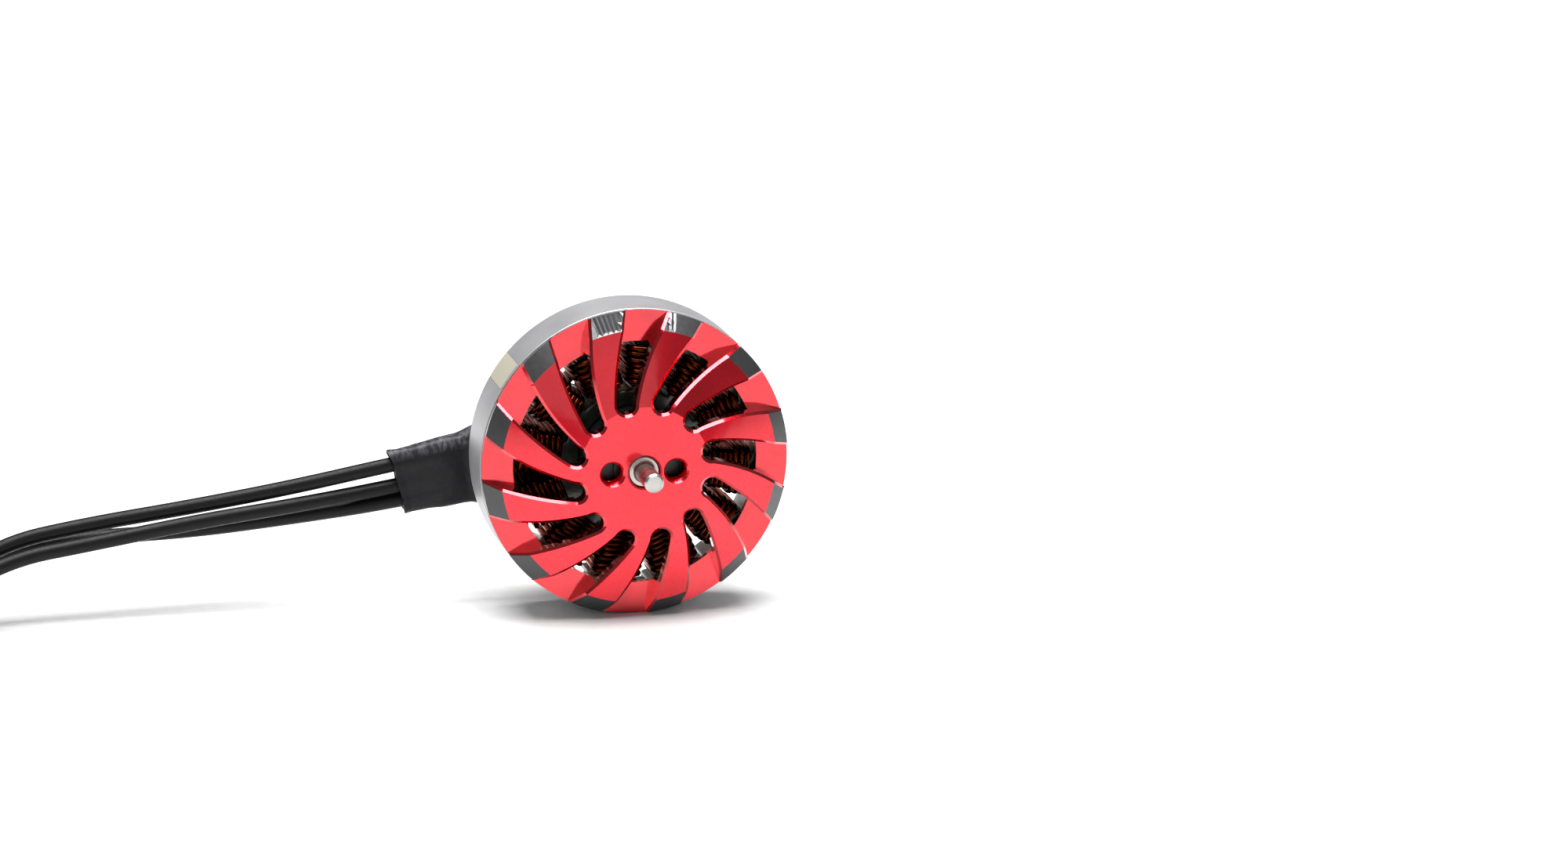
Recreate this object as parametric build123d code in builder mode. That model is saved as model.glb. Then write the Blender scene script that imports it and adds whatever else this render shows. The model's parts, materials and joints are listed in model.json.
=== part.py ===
from build123d import *
import math
import os

os.makedirs("parts", exist_ok=True)

# Brushless outrunner motor, 20 mm stator by 4 mm stack, lying on its bell like a wheel.
# The shaft lies along Y: the propeller side points to -Y, the mounting face to +Y, up is +Z.
# The origin is the centre of the mounting face. "Height" below is the distance from the
# mounting face towards the propeller, so a height h is the plane y = -h. Angles are seen
# from the propeller side, counter-clockwise from +X.

# ---- bell (rotor) -------------------------------------------------------------------
BELL_R = 12.1  # outer radius of the flux ring
RING_INNER_R = 11.2
RING_FOOT = 5.0  # height of the flux ring's open rim
SEAM = 9.9  # height where the cap sits on the flux ring
RIM_BREAK = 0.12  # chamfer on the ring's edges
CAP_R = 12.05
CAP_FLOOR = 10.15  # height of the low land between the vanes
SPIGOT_CLEARANCE = 0.04  # the cap's spigot inside the flux ring
SPIGOT_DEPTH = 0.25
CAP_TOP = 13.6  # height of the propeller seat
SEAT_R = 5.15  # radius of the flat propeller seat
SHOULDER_R = 10.8  # radius where the vane tops turn down into the tip chamfer
SHOULDER = 11.7
TIP_CHAMFER_FOOT = 10.4
VANES = 12
SLOT_OPEN_R = 9.6  # the slots go right through inside this radius
# The swept slot at the top of the bell, as (radius, angle): its two sides and its inner end.
SLOT_LEFT = ((5.7, 111.6), (8.7, 101.1), (12.6, 92.0))
SLOT_RIGHT = ((5.45, 96.2), (8.7, 86.0), (12.6, 76.2))
SLOT_END = (4.75, 104.6)
# The cap's underside, as (radius, height), from the slots' outer end to the hub.
WEB_ROOT = (9.6, 10.7)
WEB_OUTER = (9.35, 11.1)
WEB_INNER = (4.9, 12.3)
SPACER_SEAT_R = 2.2
BORE_R = 1.26
PROP_HOLE_R = 0.9  # M2 thread
PROP_HOLE_SPACING = 5.0
EDGE_BREAK = 0.12
MAGNETS = 14
MAGNET_FOOT = 5.15
MAGNET_TOP = 9.5
MAGNET_INNER_R = 10.2
MAGNET_OUTER_R = 11.18
MAGNET_HALF_DEG = 9.8
MAGNET_CORNER = 0.28
MAGNET_START = 5.0  # angle of the first magnet
PUTTY_ANGLES = (105.0, 212.0)
PUTTY_HALF_DEG = 9.0
PUTTY_FOOT = 4.85
PUTTY_CORNER = 0.3

# ---- shaft --------------------------------------------------------------------------
SHAFT_R = 1.5
SHAFT_FOOT = 0.05
SHAFT_BREAK = 0.15  # chamfers on the rear end and round the tip
SHAFT_STEP = 12.1  # height where the shaft narrows into the hub
SHAFT_SEAT_R = 1.25
SHAFT_SEAT_TOP = 13.3
SEAT_BREAK = 0.12
TIP_R = 0.75
TIP_FILLET = 0.25
TIP_TOP = 17.1
SHAFT_BORE_R = 0.73
SHAFT_BORE_DEPTH = 11.0
GROOVE_FOOT = 0.42
GROOVE_TOP = 0.76
GROOVE_R = 1.22
CLIP_RING_R = 1.95
CLIP_ANGLE = -142.0
CLIP_SLACK = 0.02
CLIP_LUG = (2.9, 2.3)
CLIP_LUG_CENTRE = 1.55
CLIP_LUG_CORNER = 0.8
CLIP_WINDOW = (1.5, 0.55)
CLIP_WINDOW_CENTRE = 2.3
SHIM_R = 2.25
SPACER_R = 2.1
FIT_GAP = 0.01  # clearance that stands in for a close fit

# ---- bearings (3 x 7 x 3 mm) ----------------------------------------------------------
BEARING_R = 3.5
BEARING_W = 3.0
LOWER_BEARING = 1.1  # height of each bearing's foot
UPPER_BEARING = 8.85
INNER_RACE_R = 2.02
OUTER_RACE_R = 2.93
BALLS = 7
BALL_R = 0.585
BALL_PITCH_R = 2.475
RACE_GAP = 0.02  # between a ball and its groove
CAGE_INNER_R = 2.3
CAGE_OUTER_R = 2.65
CAGE_HALF_W = 0.8
CAGE_POCKET_GAP = 0.04
SHIELD_T = 0.12
SHIELD_INSET = 0.1
SHIELD_LAP = 0.2  # how far the outer ring is stepped to take the shield
SHIELD_GAP = 0.02
RACE_BREAK = 0.12

# ---- base (stator mount) ---------------------------------------------------------------
PLATE_T = 1.9
PLATE_R = 4.75
LOBE_R = 1.85
LOBE_FILLET = 0.65
PLATE_BREAK = 0.22
MOUNT_PCD = 12.0
MOUNT_HOLE_R = 1.0
TUBE_R = 4.3
TUBE_TOP = 11.95
TUBE_BORE_R = 3.1
COUNTERBORE_R = 4.0
COUNTERBORE = 0.9
COUNTERBORE_BREAK = 0.2
LEAD_ANGLE = 189.0  # direction in which the wires leave
TONGUE_END = 9.2
TONGUE_W = 4.4
TONGUE_FOOT = 0.5
TONGUE_TOP = 1.3

# ---- stator -----------------------------------------------------------------------------
TEETH = 12
TOOTH_START = 21.0  # angle of the first tooth
STACK_FOOT = 5.4
STACK = 4.0
STATOR_R = 10.0
STATOR_BORE_R = 4.32
YOKE_R = 5.55
TOOTH_W = 1.7
TIP_INNER_R = 9.3
TIP_EDGE_R = 9.7
TIP_HALF_DEG = 11.3
TIP_ROOT_HALF_DEG = 5.2
COIL_START = 5.75
COIL_END = 9.15
COIL_GAP = 0.03
COIL_BUILD = 0.95  # how far the end turns stand above the stack
COIL_INNER_W = 2.62
COIL_OUTER_W = 4.1
COIL_INNER_CORNER = 0.6
COIL_OUTER_CORNER = 0.9
# Each phase is wound on two neighbouring teeth and the two opposite them.
PHASE_TEETH = {"a": (0, 1, 6, 7), "b": (2, 3, 8, 9), "c": (4, 5, 10, 11)}

# ---- leads and wires -----------------------------------------------------------------
LEAD_R = 0.5
MIDDLE_LEAD_R = 0.4
STAR_SLEEVE_R = 0.45
SOLDER_R = 0.4
SOLDER_START = 8.25
SOLDER_END = 9.8
SOLDER_HEIGHT = 1.75
WIRE_R = 0.6
WIRE_PITCH = 1.22  # between wires that lie side by side
WIRE_HEIGHT = 1.3  # height of the wires' centres in the sleeve
# Where each wire runs across the sleeve, positive towards the sleeve's top.
WIRE_SIDEWAYS = {"a": 1.45, "b": -0.33, "c": -1.55}
WIRE_START = 9.85  # distance from the shaft axis at which each insulation begins
SLEEVE_WALL = 0.2
SLEEVE_CORNER = 0.8
SLEEVE_END = 17.4
# The flattened heat-shrink, as (distance from the shaft axis, width, thickness, height).
SLEEVE_SECTIONS = (
    (5.5, 5.4, 3.05, 1.62),
    (6.4, 7.2, 3.05, 1.62),
    (10.3, 6.5, 2.9, 1.55),
    (12.2, 5.6, 2.2, 1.36),
    (SLEEVE_END, 5.1, 1.75, WIRE_HEIGHT),
)
FLOOR = -BELL_R
COIL_CENTRE = (-60.0, 2.9)
COIL_MEAN_R = 7.2
COIL_HALF_W = 1.87
COIL_H = 2.45
COIL_EDGE = 0.7
FREE_LENGTH = 105.0  # of each wire, from the sleeve to the end of its insulation
RUN_TO_COIL = 44.0  # of that, the part that isn't wound
LANDING_LIFT = 0.05
TIE_W = 1.6
TIE_T = 0.35
TIE_GAP = 0.1
TINNED_R = 0.3
TINNED_L = 3.0

SHAFT = Axis((0, 0, 0), (0, -1, 0))
# Half section through the shaft: local x is the radius, local y is the height.
SECTION = Plane(origin=(0, 0, 0), x_dir=(1, 0, 0), z_dir=(0, 0, -1))


def face(height):
    """The plane across the shaft at a height, seen from the propeller side."""
    return Plane(origin=(0, -height, 0), x_dir=(1, 0, 0), z_dir=(0, -1, 0))


def polar(radius, degrees):
    """A point in a face plane."""
    return (radius * math.cos(math.radians(degrees)), radius * math.sin(math.radians(degrees)))


def at(radius, degrees, height):
    """A point in space from its radius, angle and height."""
    x, z = polar(radius, degrees)
    return Vector(x, -height, z)


def ring_profile(inner, outer, foot, top):
    """A rectangular half section, as the corners of a closed outline."""
    return [(inner, foot), (outer, foot), (outer, top), (inner, top)]


def turned(points):
    """A solid of revolution about the shaft from a closed half-section outline."""
    with BuildPart() as body:
        with BuildSketch(SECTION):
            with BuildLine():
                Polyline(*points, close=True)
            make_face()
        revolve(axis=SHAFT)
    return body.part


def write(part, name):
    """Labels a finished piece and writes it."""
    part.label = name
    export_step(part, f"parts/{name}.step")


# ---- bell cap ---------------------------------------------------------------------------
def swept_slot():
    """One cooling slot's outline: a round inner end, and two swept sides to past the rim."""
    left = [polar(*point) for point in SLOT_LEFT]
    right = [polar(*point) for point in SLOT_RIGHT]
    with BuildSketch() as outline:
        with BuildLine():
            ThreePointArc(*left)
            ThreePointArc(*right)
            ThreePointArc(left[0], polar(*SLOT_END), right[0])
            Line(left[2], right[2])
        make_face()
    return outline.sketch


slot = swept_slot()
spigot_r = RING_INNER_R - SPIGOT_CLEARANCE

with BuildPart() as bell_cap:
    with BuildSketch(SECTION):
        with BuildLine():
            Polyline(
                (0, CAP_TOP),
                (SEAT_R, CAP_TOP),
                (SHOULDER_R, SHOULDER),
                (CAP_R, TIP_CHAMFER_FOOT),
                (CAP_R, SEAM),
                (spigot_r, SEAM),
                (spigot_r, SEAM - SPIGOT_DEPTH),
                (SLOT_OPEN_R, SEAM - SPIGOT_DEPTH),
                WEB_ROOT,
                WEB_OUTER,
                WEB_INNER,
                (SPACER_SEAT_R, WEB_INNER[1]),
                (SPACER_SEAT_R, SHAFT_STEP),
                (0, SHAFT_STEP),
                close=True,
            )
        make_face()
    revolve(axis=SHAFT)
    with BuildSketch(face(CAP_FLOOR)):
        with PolarLocations(0, VANES):
            add(slot)
    extrude(amount=CAP_TOP, mode=Mode.SUBTRACT)
    with BuildSketch(face(SEAM - 1)):
        with PolarLocations(0, VANES):
            add(slot)
        Circle(SLOT_OPEN_R, mode=Mode.INTERSECT)
    extrude(amount=CAP_TOP, mode=Mode.SUBTRACT)
    with BuildSketch(face(SHAFT_STEP - 1)):
        Circle(BORE_R)
        with GridLocations(PROP_HOLE_SPACING, 1, 2, 1):
            Circle(PROP_HOLE_R)
    extrude(amount=CAP_TOP, mode=Mode.SUBTRACT)
    rims = bell_cap.edges().filter_by(GeomType.CIRCLE).filter_by_position(
        Axis.Y, -CAP_TOP - 0.01, -CAP_TOP + 0.01
    )
    chamfer(rims.filter_by(lambda e: e.is_closed), EDGE_BREAK)

write(bell_cap.part, "bell_cap")

# ---- flux ring, magnets, adhesive, balance putty ----------------------------------------
write(
    turned(
        [
            (RING_INNER_R, RING_FOOT + RIM_BREAK),
            (RING_INNER_R + RIM_BREAK, RING_FOOT),
            (BELL_R - RIM_BREAK, RING_FOOT),
            (BELL_R, RING_FOOT + RIM_BREAK),
            (BELL_R, SEAM - RIM_BREAK / 2),
            (BELL_R - RIM_BREAK / 2, SEAM),
            (RING_INNER_R, SEAM),
        ]
    ),
    "flux_ring",
)


def arc_block(inner, outer, half_degrees, foot, top, corner=0.0):
    """A block that follows the bell's curve, centred on +X, with rounded long edges."""
    with BuildPart() as block:
        with BuildSketch(face(foot)) as outline:
            with BuildLine():
                ThreePointArc(
                    polar(outer, -half_degrees), polar(outer, 0), polar(outer, half_degrees)
                )
                ThreePointArc(
                    polar(inner, -half_degrees), polar(inner, 0), polar(inner, half_degrees)
                )
                Line(polar(outer, half_degrees), polar(inner, half_degrees))
                Line(polar(outer, -half_degrees), polar(inner, -half_degrees))
            make_face()
            if corner:
                fillet(outline.vertices(), corner)
        extrude(amount=top - foot)
    return block.part


def turned_copies(part, angles):
    """The same piece at several angles about the shaft, as separate solids of one node."""
    with BuildPart() as group:
        for degrees in angles:
            add(part.rotate(SHAFT, degrees))
    return group.part


magnet = arc_block(
    MAGNET_INNER_R, MAGNET_OUTER_R, MAGNET_HALF_DEG, MAGNET_FOOT, MAGNET_TOP, MAGNET_CORNER
)
magnet_angles = [MAGNET_START + k * 360 / MAGNETS for k in range(MAGNETS)]
write(turned_copies(magnet, magnet_angles), "magnets")

gap_half = 180 / MAGNETS - MAGNET_HALF_DEG - 0.1
adhesive = arc_block(
    MAGNET_INNER_R + 0.45, MAGNET_OUTER_R, gap_half, MAGNET_FOOT + 0.1, MAGNET_TOP - 0.1
)
gap_angles = [angle + 180 / MAGNETS for angle in magnet_angles]
write(turned_copies(adhesive, gap_angles), "magnet_adhesive")

putty = arc_block(
    MAGNET_INNER_R + 0.1, MAGNET_OUTER_R, PUTTY_HALF_DEG, PUTTY_FOOT, MAGNET_FOOT, PUTTY_CORNER
)
write(turned_copies(putty, PUTTY_ANGLES), "balance_putty")

# ---- shaft, washers, clip ----------------------------------------------------------------
with BuildPart() as shaft:
    with BuildSketch(SECTION):
        with BuildLine():
            Polyline(
                (SHAFT_BORE_R, SHAFT_FOOT),
                (SHAFT_R - SHAFT_BREAK, SHAFT_FOOT),
                (SHAFT_R, SHAFT_FOOT + SHAFT_BREAK),
                (SHAFT_R, GROOVE_FOOT),
                (GROOVE_R, GROOVE_FOOT),
                (GROOVE_R, GROOVE_TOP),
                (SHAFT_R, GROOVE_TOP),
                (SHAFT_R, SHAFT_STEP - FIT_GAP),
                (SHAFT_SEAT_R, SHAFT_STEP - FIT_GAP),
                (SHAFT_SEAT_R, SHAFT_SEAT_TOP - SEAT_BREAK),
                (SHAFT_SEAT_R - SEAT_BREAK, SHAFT_SEAT_TOP),
                (TIP_R + TIP_FILLET, SHAFT_SEAT_TOP),
            )
            RadiusArc(
                (TIP_R + TIP_FILLET, SHAFT_SEAT_TOP),
                (TIP_R, SHAFT_SEAT_TOP + TIP_FILLET),
                TIP_FILLET,
            )
            Polyline(
                (TIP_R, SHAFT_SEAT_TOP + TIP_FILLET),
                (TIP_R, TIP_TOP - SHAFT_BREAK),
                (TIP_R - SHAFT_BREAK, TIP_TOP),
                (0, TIP_TOP),
                (0, SHAFT_BORE_DEPTH),
                (SHAFT_BORE_R, SHAFT_BORE_DEPTH),
                (SHAFT_BORE_R, SHAFT_FOOT),
            )
        make_face()
    revolve(axis=SHAFT)
write(shaft.part, "shaft")

write(
    turned(ring_profile(SHAFT_R + FIT_GAP, SPACER_R, UPPER_BEARING + BEARING_W, SHAFT_STEP)),
    "upper_spacer",
)
write(
    turned(ring_profile(SHAFT_R + FIT_GAP, SHIM_R, GROOVE_TOP + FIT_GAP, LOWER_BEARING)),
    "shim_washer",
)

with BuildPart() as clip:
    with BuildSketch(face(GROOVE_FOOT + CLIP_SLACK)):
        Circle(CLIP_RING_R)
        with Locations(Pos(*polar(CLIP_LUG_CENTRE, CLIP_ANGLE)) * Rot(0, 0, CLIP_ANGLE)):
            RectangleRounded(*CLIP_LUG, CLIP_LUG_CORNER)
        Circle(GROOVE_R + FIT_GAP, mode=Mode.SUBTRACT)
        with Locations(Pos(*polar(CLIP_WINDOW_CENTRE, CLIP_ANGLE)) * Rot(0, 0, CLIP_ANGLE)):
            SlotOverall(*CLIP_WINDOW, rotation=90, mode=Mode.SUBTRACT)
    extrude(amount=GROOVE_TOP - GROOVE_FOOT - 2 * CLIP_SLACK)
write(clip.part, "retaining_clip")

# ---- bearings --------------------------------------------------------------------------
def write_bearing(name, foot):
    """A shielded ball bearing: two rings, two shields, the balls and their cage."""
    middle = foot + BEARING_W / 2
    top = foot + BEARING_W
    outer_r = BEARING_R - FIT_GAP
    shield_seat_r = OUTER_RACE_R + SHIELD_LAP
    shield_depth = SHIELD_INSET + SHIELD_T
    with BuildPart() as race_groove:
        with BuildSketch(SECTION):
            with Locations((BALL_PITCH_R, middle)):
                Circle(BALL_R + RACE_GAP)
        revolve(axis=SHAFT)
    inner = turned(ring_profile(SHAFT_R + FIT_GAP, INNER_RACE_R, foot, top)) - race_groove.part
    outer = turned(
        [
            (OUTER_RACE_R, foot + shield_depth),
            (shield_seat_r, foot + shield_depth),
            (shield_seat_r, foot),
            (outer_r - RACE_BREAK, foot),
            (outer_r, foot + RACE_BREAK),
            (outer_r, top - RACE_BREAK),
            (outer_r - RACE_BREAK, top),
            (shield_seat_r, top),
            (shield_seat_r, top - shield_depth),
            (OUTER_RACE_R, top - shield_depth),
        ]
    ) - race_groove.part
    write(inner, f"{name}_bearing_inner_ring")
    write(outer, f"{name}_bearing_outer_ring")
    shield_inner_r = INNER_RACE_R + 4 * SHIELD_GAP
    with BuildPart() as shields:
        for shield_foot in (foot + SHIELD_INSET, top - shield_depth):
            shield_top = shield_foot + SHIELD_T
            add(turned(ring_profile(shield_inner_r, shield_seat_r - SHIELD_GAP, shield_foot, shield_top)))
    write(shields.part, f"{name}_bearing_shields")
    ball_angles = [k * 360 / BALLS for k in range(BALLS)]
    with BuildPart() as ball:
        with Locations((BALL_PITCH_R, -middle, 0)):
            Sphere(BALL_R)
    write(turned_copies(ball.part, ball_angles), f"{name}_bearing_balls")
    cage = turned(
        ring_profile(CAGE_INNER_R, CAGE_OUTER_R, middle - CAGE_HALF_W, middle + CAGE_HALF_W)
    )
    with BuildPart() as pocket:
        with BuildSketch(Plane.YZ.offset(CAGE_INNER_R - 1)):
            with Locations((-middle, 0)):
                Circle(BALL_R + CAGE_POCKET_GAP)
        extrude(amount=CAGE_OUTER_R - CAGE_INNER_R + 2)
    for degrees in ball_angles:
        cage -= pocket.part.rotate(SHAFT, degrees)
    write(cage, f"{name}_bearing_cage")


write_bearing("lower", LOWER_BEARING)
write_bearing("upper", UPPER_BEARING)

# ---- base --------------------------------------------------------------------------------
with BuildPart() as base:
    with BuildSketch(face(0)) as plate:
        Circle(PLATE_R)
        with PolarLocations(MOUNT_PCD / 2, 4, start_angle=LEAD_ANGLE + 45):
            Circle(LOBE_R)
        fillet(plate.vertices(), LOBE_FILLET)
    extrude(amount=PLATE_T)
    with BuildSketch(face(TONGUE_FOOT)):
        with Locations(Pos(*polar(TONGUE_END / 2, LEAD_ANGLE)) * Rot(0, 0, LEAD_ANGLE)):
            Rectangle(TONGUE_END, TONGUE_W)
    extrude(amount=TONGUE_TOP - TONGUE_FOOT)
    with BuildSketch(face(PLATE_T)):
        Circle(TUBE_R)
    extrude(amount=TUBE_TOP - PLATE_T)
    with BuildSketch(SECTION):
        with BuildLine():
            Polyline(
                (0, -1),
                (COUNTERBORE_R + COUNTERBORE_BREAK, -1),
                (COUNTERBORE_R + COUNTERBORE_BREAK, 0),
                (COUNTERBORE_R, COUNTERBORE_BREAK),
                (COUNTERBORE_R, COUNTERBORE),
                (BEARING_R, LOWER_BEARING),
                (BEARING_R, LOWER_BEARING + BEARING_W),
                (TUBE_BORE_R, LOWER_BEARING + BEARING_W),
                (TUBE_BORE_R, UPPER_BEARING),
                (BEARING_R, UPPER_BEARING),
                (BEARING_R, TUBE_TOP + 1),
                (0, TUBE_TOP + 1),
                close=True,
            )
        make_face()
    revolve(axis=SHAFT, mode=Mode.SUBTRACT)
    with BuildSketch(face(-1)):
        with PolarLocations(MOUNT_PCD / 2, 4, start_angle=LEAD_ANGLE + 45):
            Circle(MOUNT_HOLE_R)
    extrude(amount=PLATE_T + 2, mode=Mode.SUBTRACT)
    # Every edge of the mounting face but the counterbore's, which has its own chamfer.
    face_edges = base.edges().filter_by_position(Axis.Y, -FIT_GAP, FIT_GAP)
    bore_edge = face_edges.sort_by(SortBy.RADIUS)[-1]
    chamfer([edge for edge in face_edges if edge != bore_edge], PLATE_BREAK)
write(base.part, "base")

# ---- stator core and windings ------------------------------------------------------------
tooth_angles = [TOOTH_START + k * 360 / TEETH for k in range(TEETH)]
with BuildPart() as stator_core:
    with BuildSketch(face(STACK_FOOT)):
        Circle(YOKE_R)
        for degrees in tooth_angles:
            with Locations(Pos(*polar(TIP_EDGE_R / 2, degrees)) * Rot(0, 0, degrees)):
                Rectangle(TIP_EDGE_R, TOOTH_W)
            with BuildLine():
                tip_right = polar(STATOR_R, degrees - TIP_HALF_DEG)
                tip_left = polar(STATOR_R, degrees + TIP_HALF_DEG)
                ThreePointArc(tip_right, polar(STATOR_R, degrees), tip_left)
                Polyline(
                    tip_left,
                    polar(TIP_EDGE_R, degrees + TIP_HALF_DEG),
                    polar(TIP_INNER_R, degrees + TIP_ROOT_HALF_DEG),
                    polar(TIP_INNER_R, degrees - TIP_ROOT_HALF_DEG),
                    polar(TIP_EDGE_R, degrees - TIP_HALF_DEG),
                    tip_right,
                )
            make_face()
        Circle(STATOR_BORE_R, mode=Mode.SUBTRACT)
    extrude(amount=STACK)
write(stator_core.part, "stator_core")

with BuildPart() as coil:
    middle = STACK_FOOT + STACK / 2
    tall = STACK + 2 * COIL_BUILD
    inner_plane = Plane(origin=(COIL_START, -middle, 0), x_dir=(0, 0, 1), z_dir=(1, 0, 0))
    with BuildSketch(inner_plane):
        RectangleRounded(COIL_INNER_W, tall, COIL_INNER_CORNER)
    with BuildSketch(inner_plane.offset(COIL_END - COIL_START)):
        RectangleRounded(COIL_OUTER_W, tall, COIL_OUTER_CORNER)
    loft()
    with BuildSketch(inner_plane.offset(-1)):
        Rectangle(TOOTH_W + 2 * COIL_GAP, STACK + 2 * COIL_GAP)
    extrude(amount=COIL_END, mode=Mode.SUBTRACT)
for phase, teeth in PHASE_TEETH.items():
    angles = [tooth_angles[tooth] for tooth in teeth]
    write(turned_copies(coil.part, angles), f"winding_phase_{phase}")


# ---- leads, solder joints, heat-shrink sleeve ----------------------------------------------
def outward(distance, sideways, height):
    """A point along the lead direction; sideways is positive towards the top of the sleeve."""
    x, z = polar(distance, LEAD_ANGLE)
    side_x, side_z = polar(sideways, LEAD_ANGLE - 90)
    return Vector(x + side_x, -height, z + side_z)


def smooth_radii(points):
    """For each corner of a route, the largest tangent arc that its two runs leave room for."""
    radii = []
    for before, corner, after in zip(points, points[1:], points[2:]):
        turn = math.radians((corner - before).get_angle(after - corner))
        shorter = min((corner - before).length, (after - corner).length)
        radii.append(0.45 * shorter / math.tan(turn / 2))
    return radii


def tube(points, radius, name):
    """A round cord along straight runs joined by tangent arcs."""
    radii = smooth_radii(points)
    with BuildPart() as cord:
        with BuildLine() as route:
            FilletPolyline(*points, radius=radii)
        with BuildSketch(Plane(origin=route.line @ 0, z_dir=route.line % 0)):
            Circle(radius)
        sweep()
    length = sum(edge.length for edge in route.line.edges())
    expected = math.pi * radius**2 * length
    print(f"{name}: length {length:.1f}, volume {cord.part.volume / expected:.4f} of section x length")
    print("  radii in diameters", [round(r / (2 * radius), 1) for r in radii])
    return cord.part


lead_a = [
    at(7.4, 52, 3.9),
    at(7.2, 64, 3.3),
    at(7.0, 88, 3.1),
    at(6.9, 110, 3.1),
    at(6.6, 130, 3.0),
    outward(4.5, 3.5, 2.85),
    outward(5.2, 1.95, 2.5),
    outward(6.7, 1.62, 2.2),
    outward(8.2, 1.6, 1.9),
]
lead_b = [
    at(7.4, 318, 3.9),
    at(7.2, 304, 3.3),
    at(6.9, 282, 3.1),
    at(6.7, 262, 3.1),
    at(6.5, 245, 3.0),
    outward(4.5, -3.5, 2.85),
    outward(5.2, -1.95, 2.5),
    outward(6.7, -1.62, 2.2),
    outward(8.2, -1.6, 1.9),
]
lead_c = [
    outward(5.0, -0.1, 4.3),
    outward(5.02, 0.0, 2.9),
    outward(5.9, 0.03, 2.15),
    outward(7.0, 0.0, 2.0),
    outward(8.2, 0.0, 1.9),
]
write(tube(lead_a, LEAD_R, "lead_sleeve_a"), "lead_sleeve_a")
write(tube(lead_b, LEAD_R, "lead_sleeve_b"), "lead_sleeve_b")
write(tube(lead_c, MIDDLE_LEAD_R, "lead_sleeve_c"), "lead_sleeve_c")
star_point = [at(8.2, 24, 3.75), at(7.9, 8, 3.6), at(7.2, -7, 3.6), at(6.4, -22, 3.7)]
write(tube(star_point, STAR_SLEEVE_R, "star_point_sleeve"), "star_point_sleeve")

lead_direction = outward(1, 0, 0) - outward(0, 0, 0)
sleeve_direction = outward(0, 1, 0) - outward(0, 0, 0)

with BuildPart() as solder_joints:
    for sideways in WIRE_SIDEWAYS.values():
        start = outward(SOLDER_START, sideways, SOLDER_HEIGHT)
        with BuildSketch(Plane(origin=start, z_dir=lead_direction)):
            Circle(SOLDER_R)
        extrude(amount=SOLDER_END - SOLDER_START)
write(solder_joints.part, "solder_joints")


def sleeve_solid(shrink):
    """The flattened heat-shrink's outline, made smaller all round by shrink."""
    with BuildPart() as sleeve:
        for distance, width, thick, height in SLEEVE_SECTIONS:
            centre = outward(distance, 0, height)
            with BuildSketch(Plane(origin=centre, x_dir=sleeve_direction, z_dir=lead_direction)):
                RectangleRounded(width - 2 * shrink, thick - 2 * shrink, SLEEVE_CORNER - shrink)
        loft(ruled=True)
    return sleeve.part


write(sleeve_solid(0) - sleeve_solid(SLEEVE_WALL), "heat_shrink_sleeve")

# ---- phase wires, their put-away coil, tinned ends -----------------------------------------
COIL_X, COIL_Y = COIL_CENTRE


def wire_route(phase, waypoints, radius_in_coil):
    """From inside the sleeve, out past the waypoints and down to the coil on the floor."""
    sideways = WIRE_SIDEWAYS[phase]
    landing = Vector(COIL_X, COIL_Y - radius_in_coil, FLOOR + WIRE_R + LANDING_LIFT)
    return [
        outward(WIRE_START, sideways, WIRE_HEIGHT),
        outward(SLEEVE_END + 0.2, sideways, WIRE_HEIGHT),
        *[Vector(*point) for point in waypoints],
        landing,
    ]


WIRE_A = wire_route(
    "a",
    [
        (-25.2, -1.35, -2.62),
        (-33.5, -1.4, -3.74),
        (-41.5, -1.45, -4.62),
        (-48.3, -1.5, -5.75),
        (-54.6, -3.4, -9.4),
    ],
    COIL_MEAN_R,
)
WIRE_B = wire_route(
    "b",
    [
        (-25.3, -1.9, -3.98),
        (-33.0, -2.35, -4.68),
        (-41.0, -2.5, -5.85),
        (-48.0, -2.7, -6.75),
        (-54.4, -4.8, -9.9),
    ],
    COIL_MEAN_R + WIRE_PITCH,
)
WIRE_C = wire_route(
    "c",
    [
        (-25.6, -0.3, -5.35),
        (-33.5, 0.25, -6.08),
        (-41.5, 0.45, -6.15),
        (-48.0, 0.4, -6.75),
        (-54.4, -1.95, -9.9),
    ],
    COIL_MEAN_R - WIRE_PITCH,
)
write(tube(WIRE_A, WIRE_R, "phase_wire_a"), "phase_wire_a")
write(tube(WIRE_B, WIRE_R, "phase_wire_b"), "phase_wire_b")
write(tube(WIRE_C, WIRE_R, "phase_wire_c"), "phase_wire_c")

with BuildPart() as wire_coil:
    with BuildSketch(Plane.XY.offset(FLOOR).move(Pos(COIL_X, COIL_Y, 0))):
        Circle(COIL_MEAN_R + COIL_HALF_W)
        Circle(COIL_MEAN_R - COIL_HALF_W, mode=Mode.SUBTRACT)
    extrude(amount=COIL_H)
    fillet(wire_coil.edges().filter_by(GeomType.CIRCLE), COIL_EDGE)
write(wire_coil.part, "wire_coil")

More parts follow.
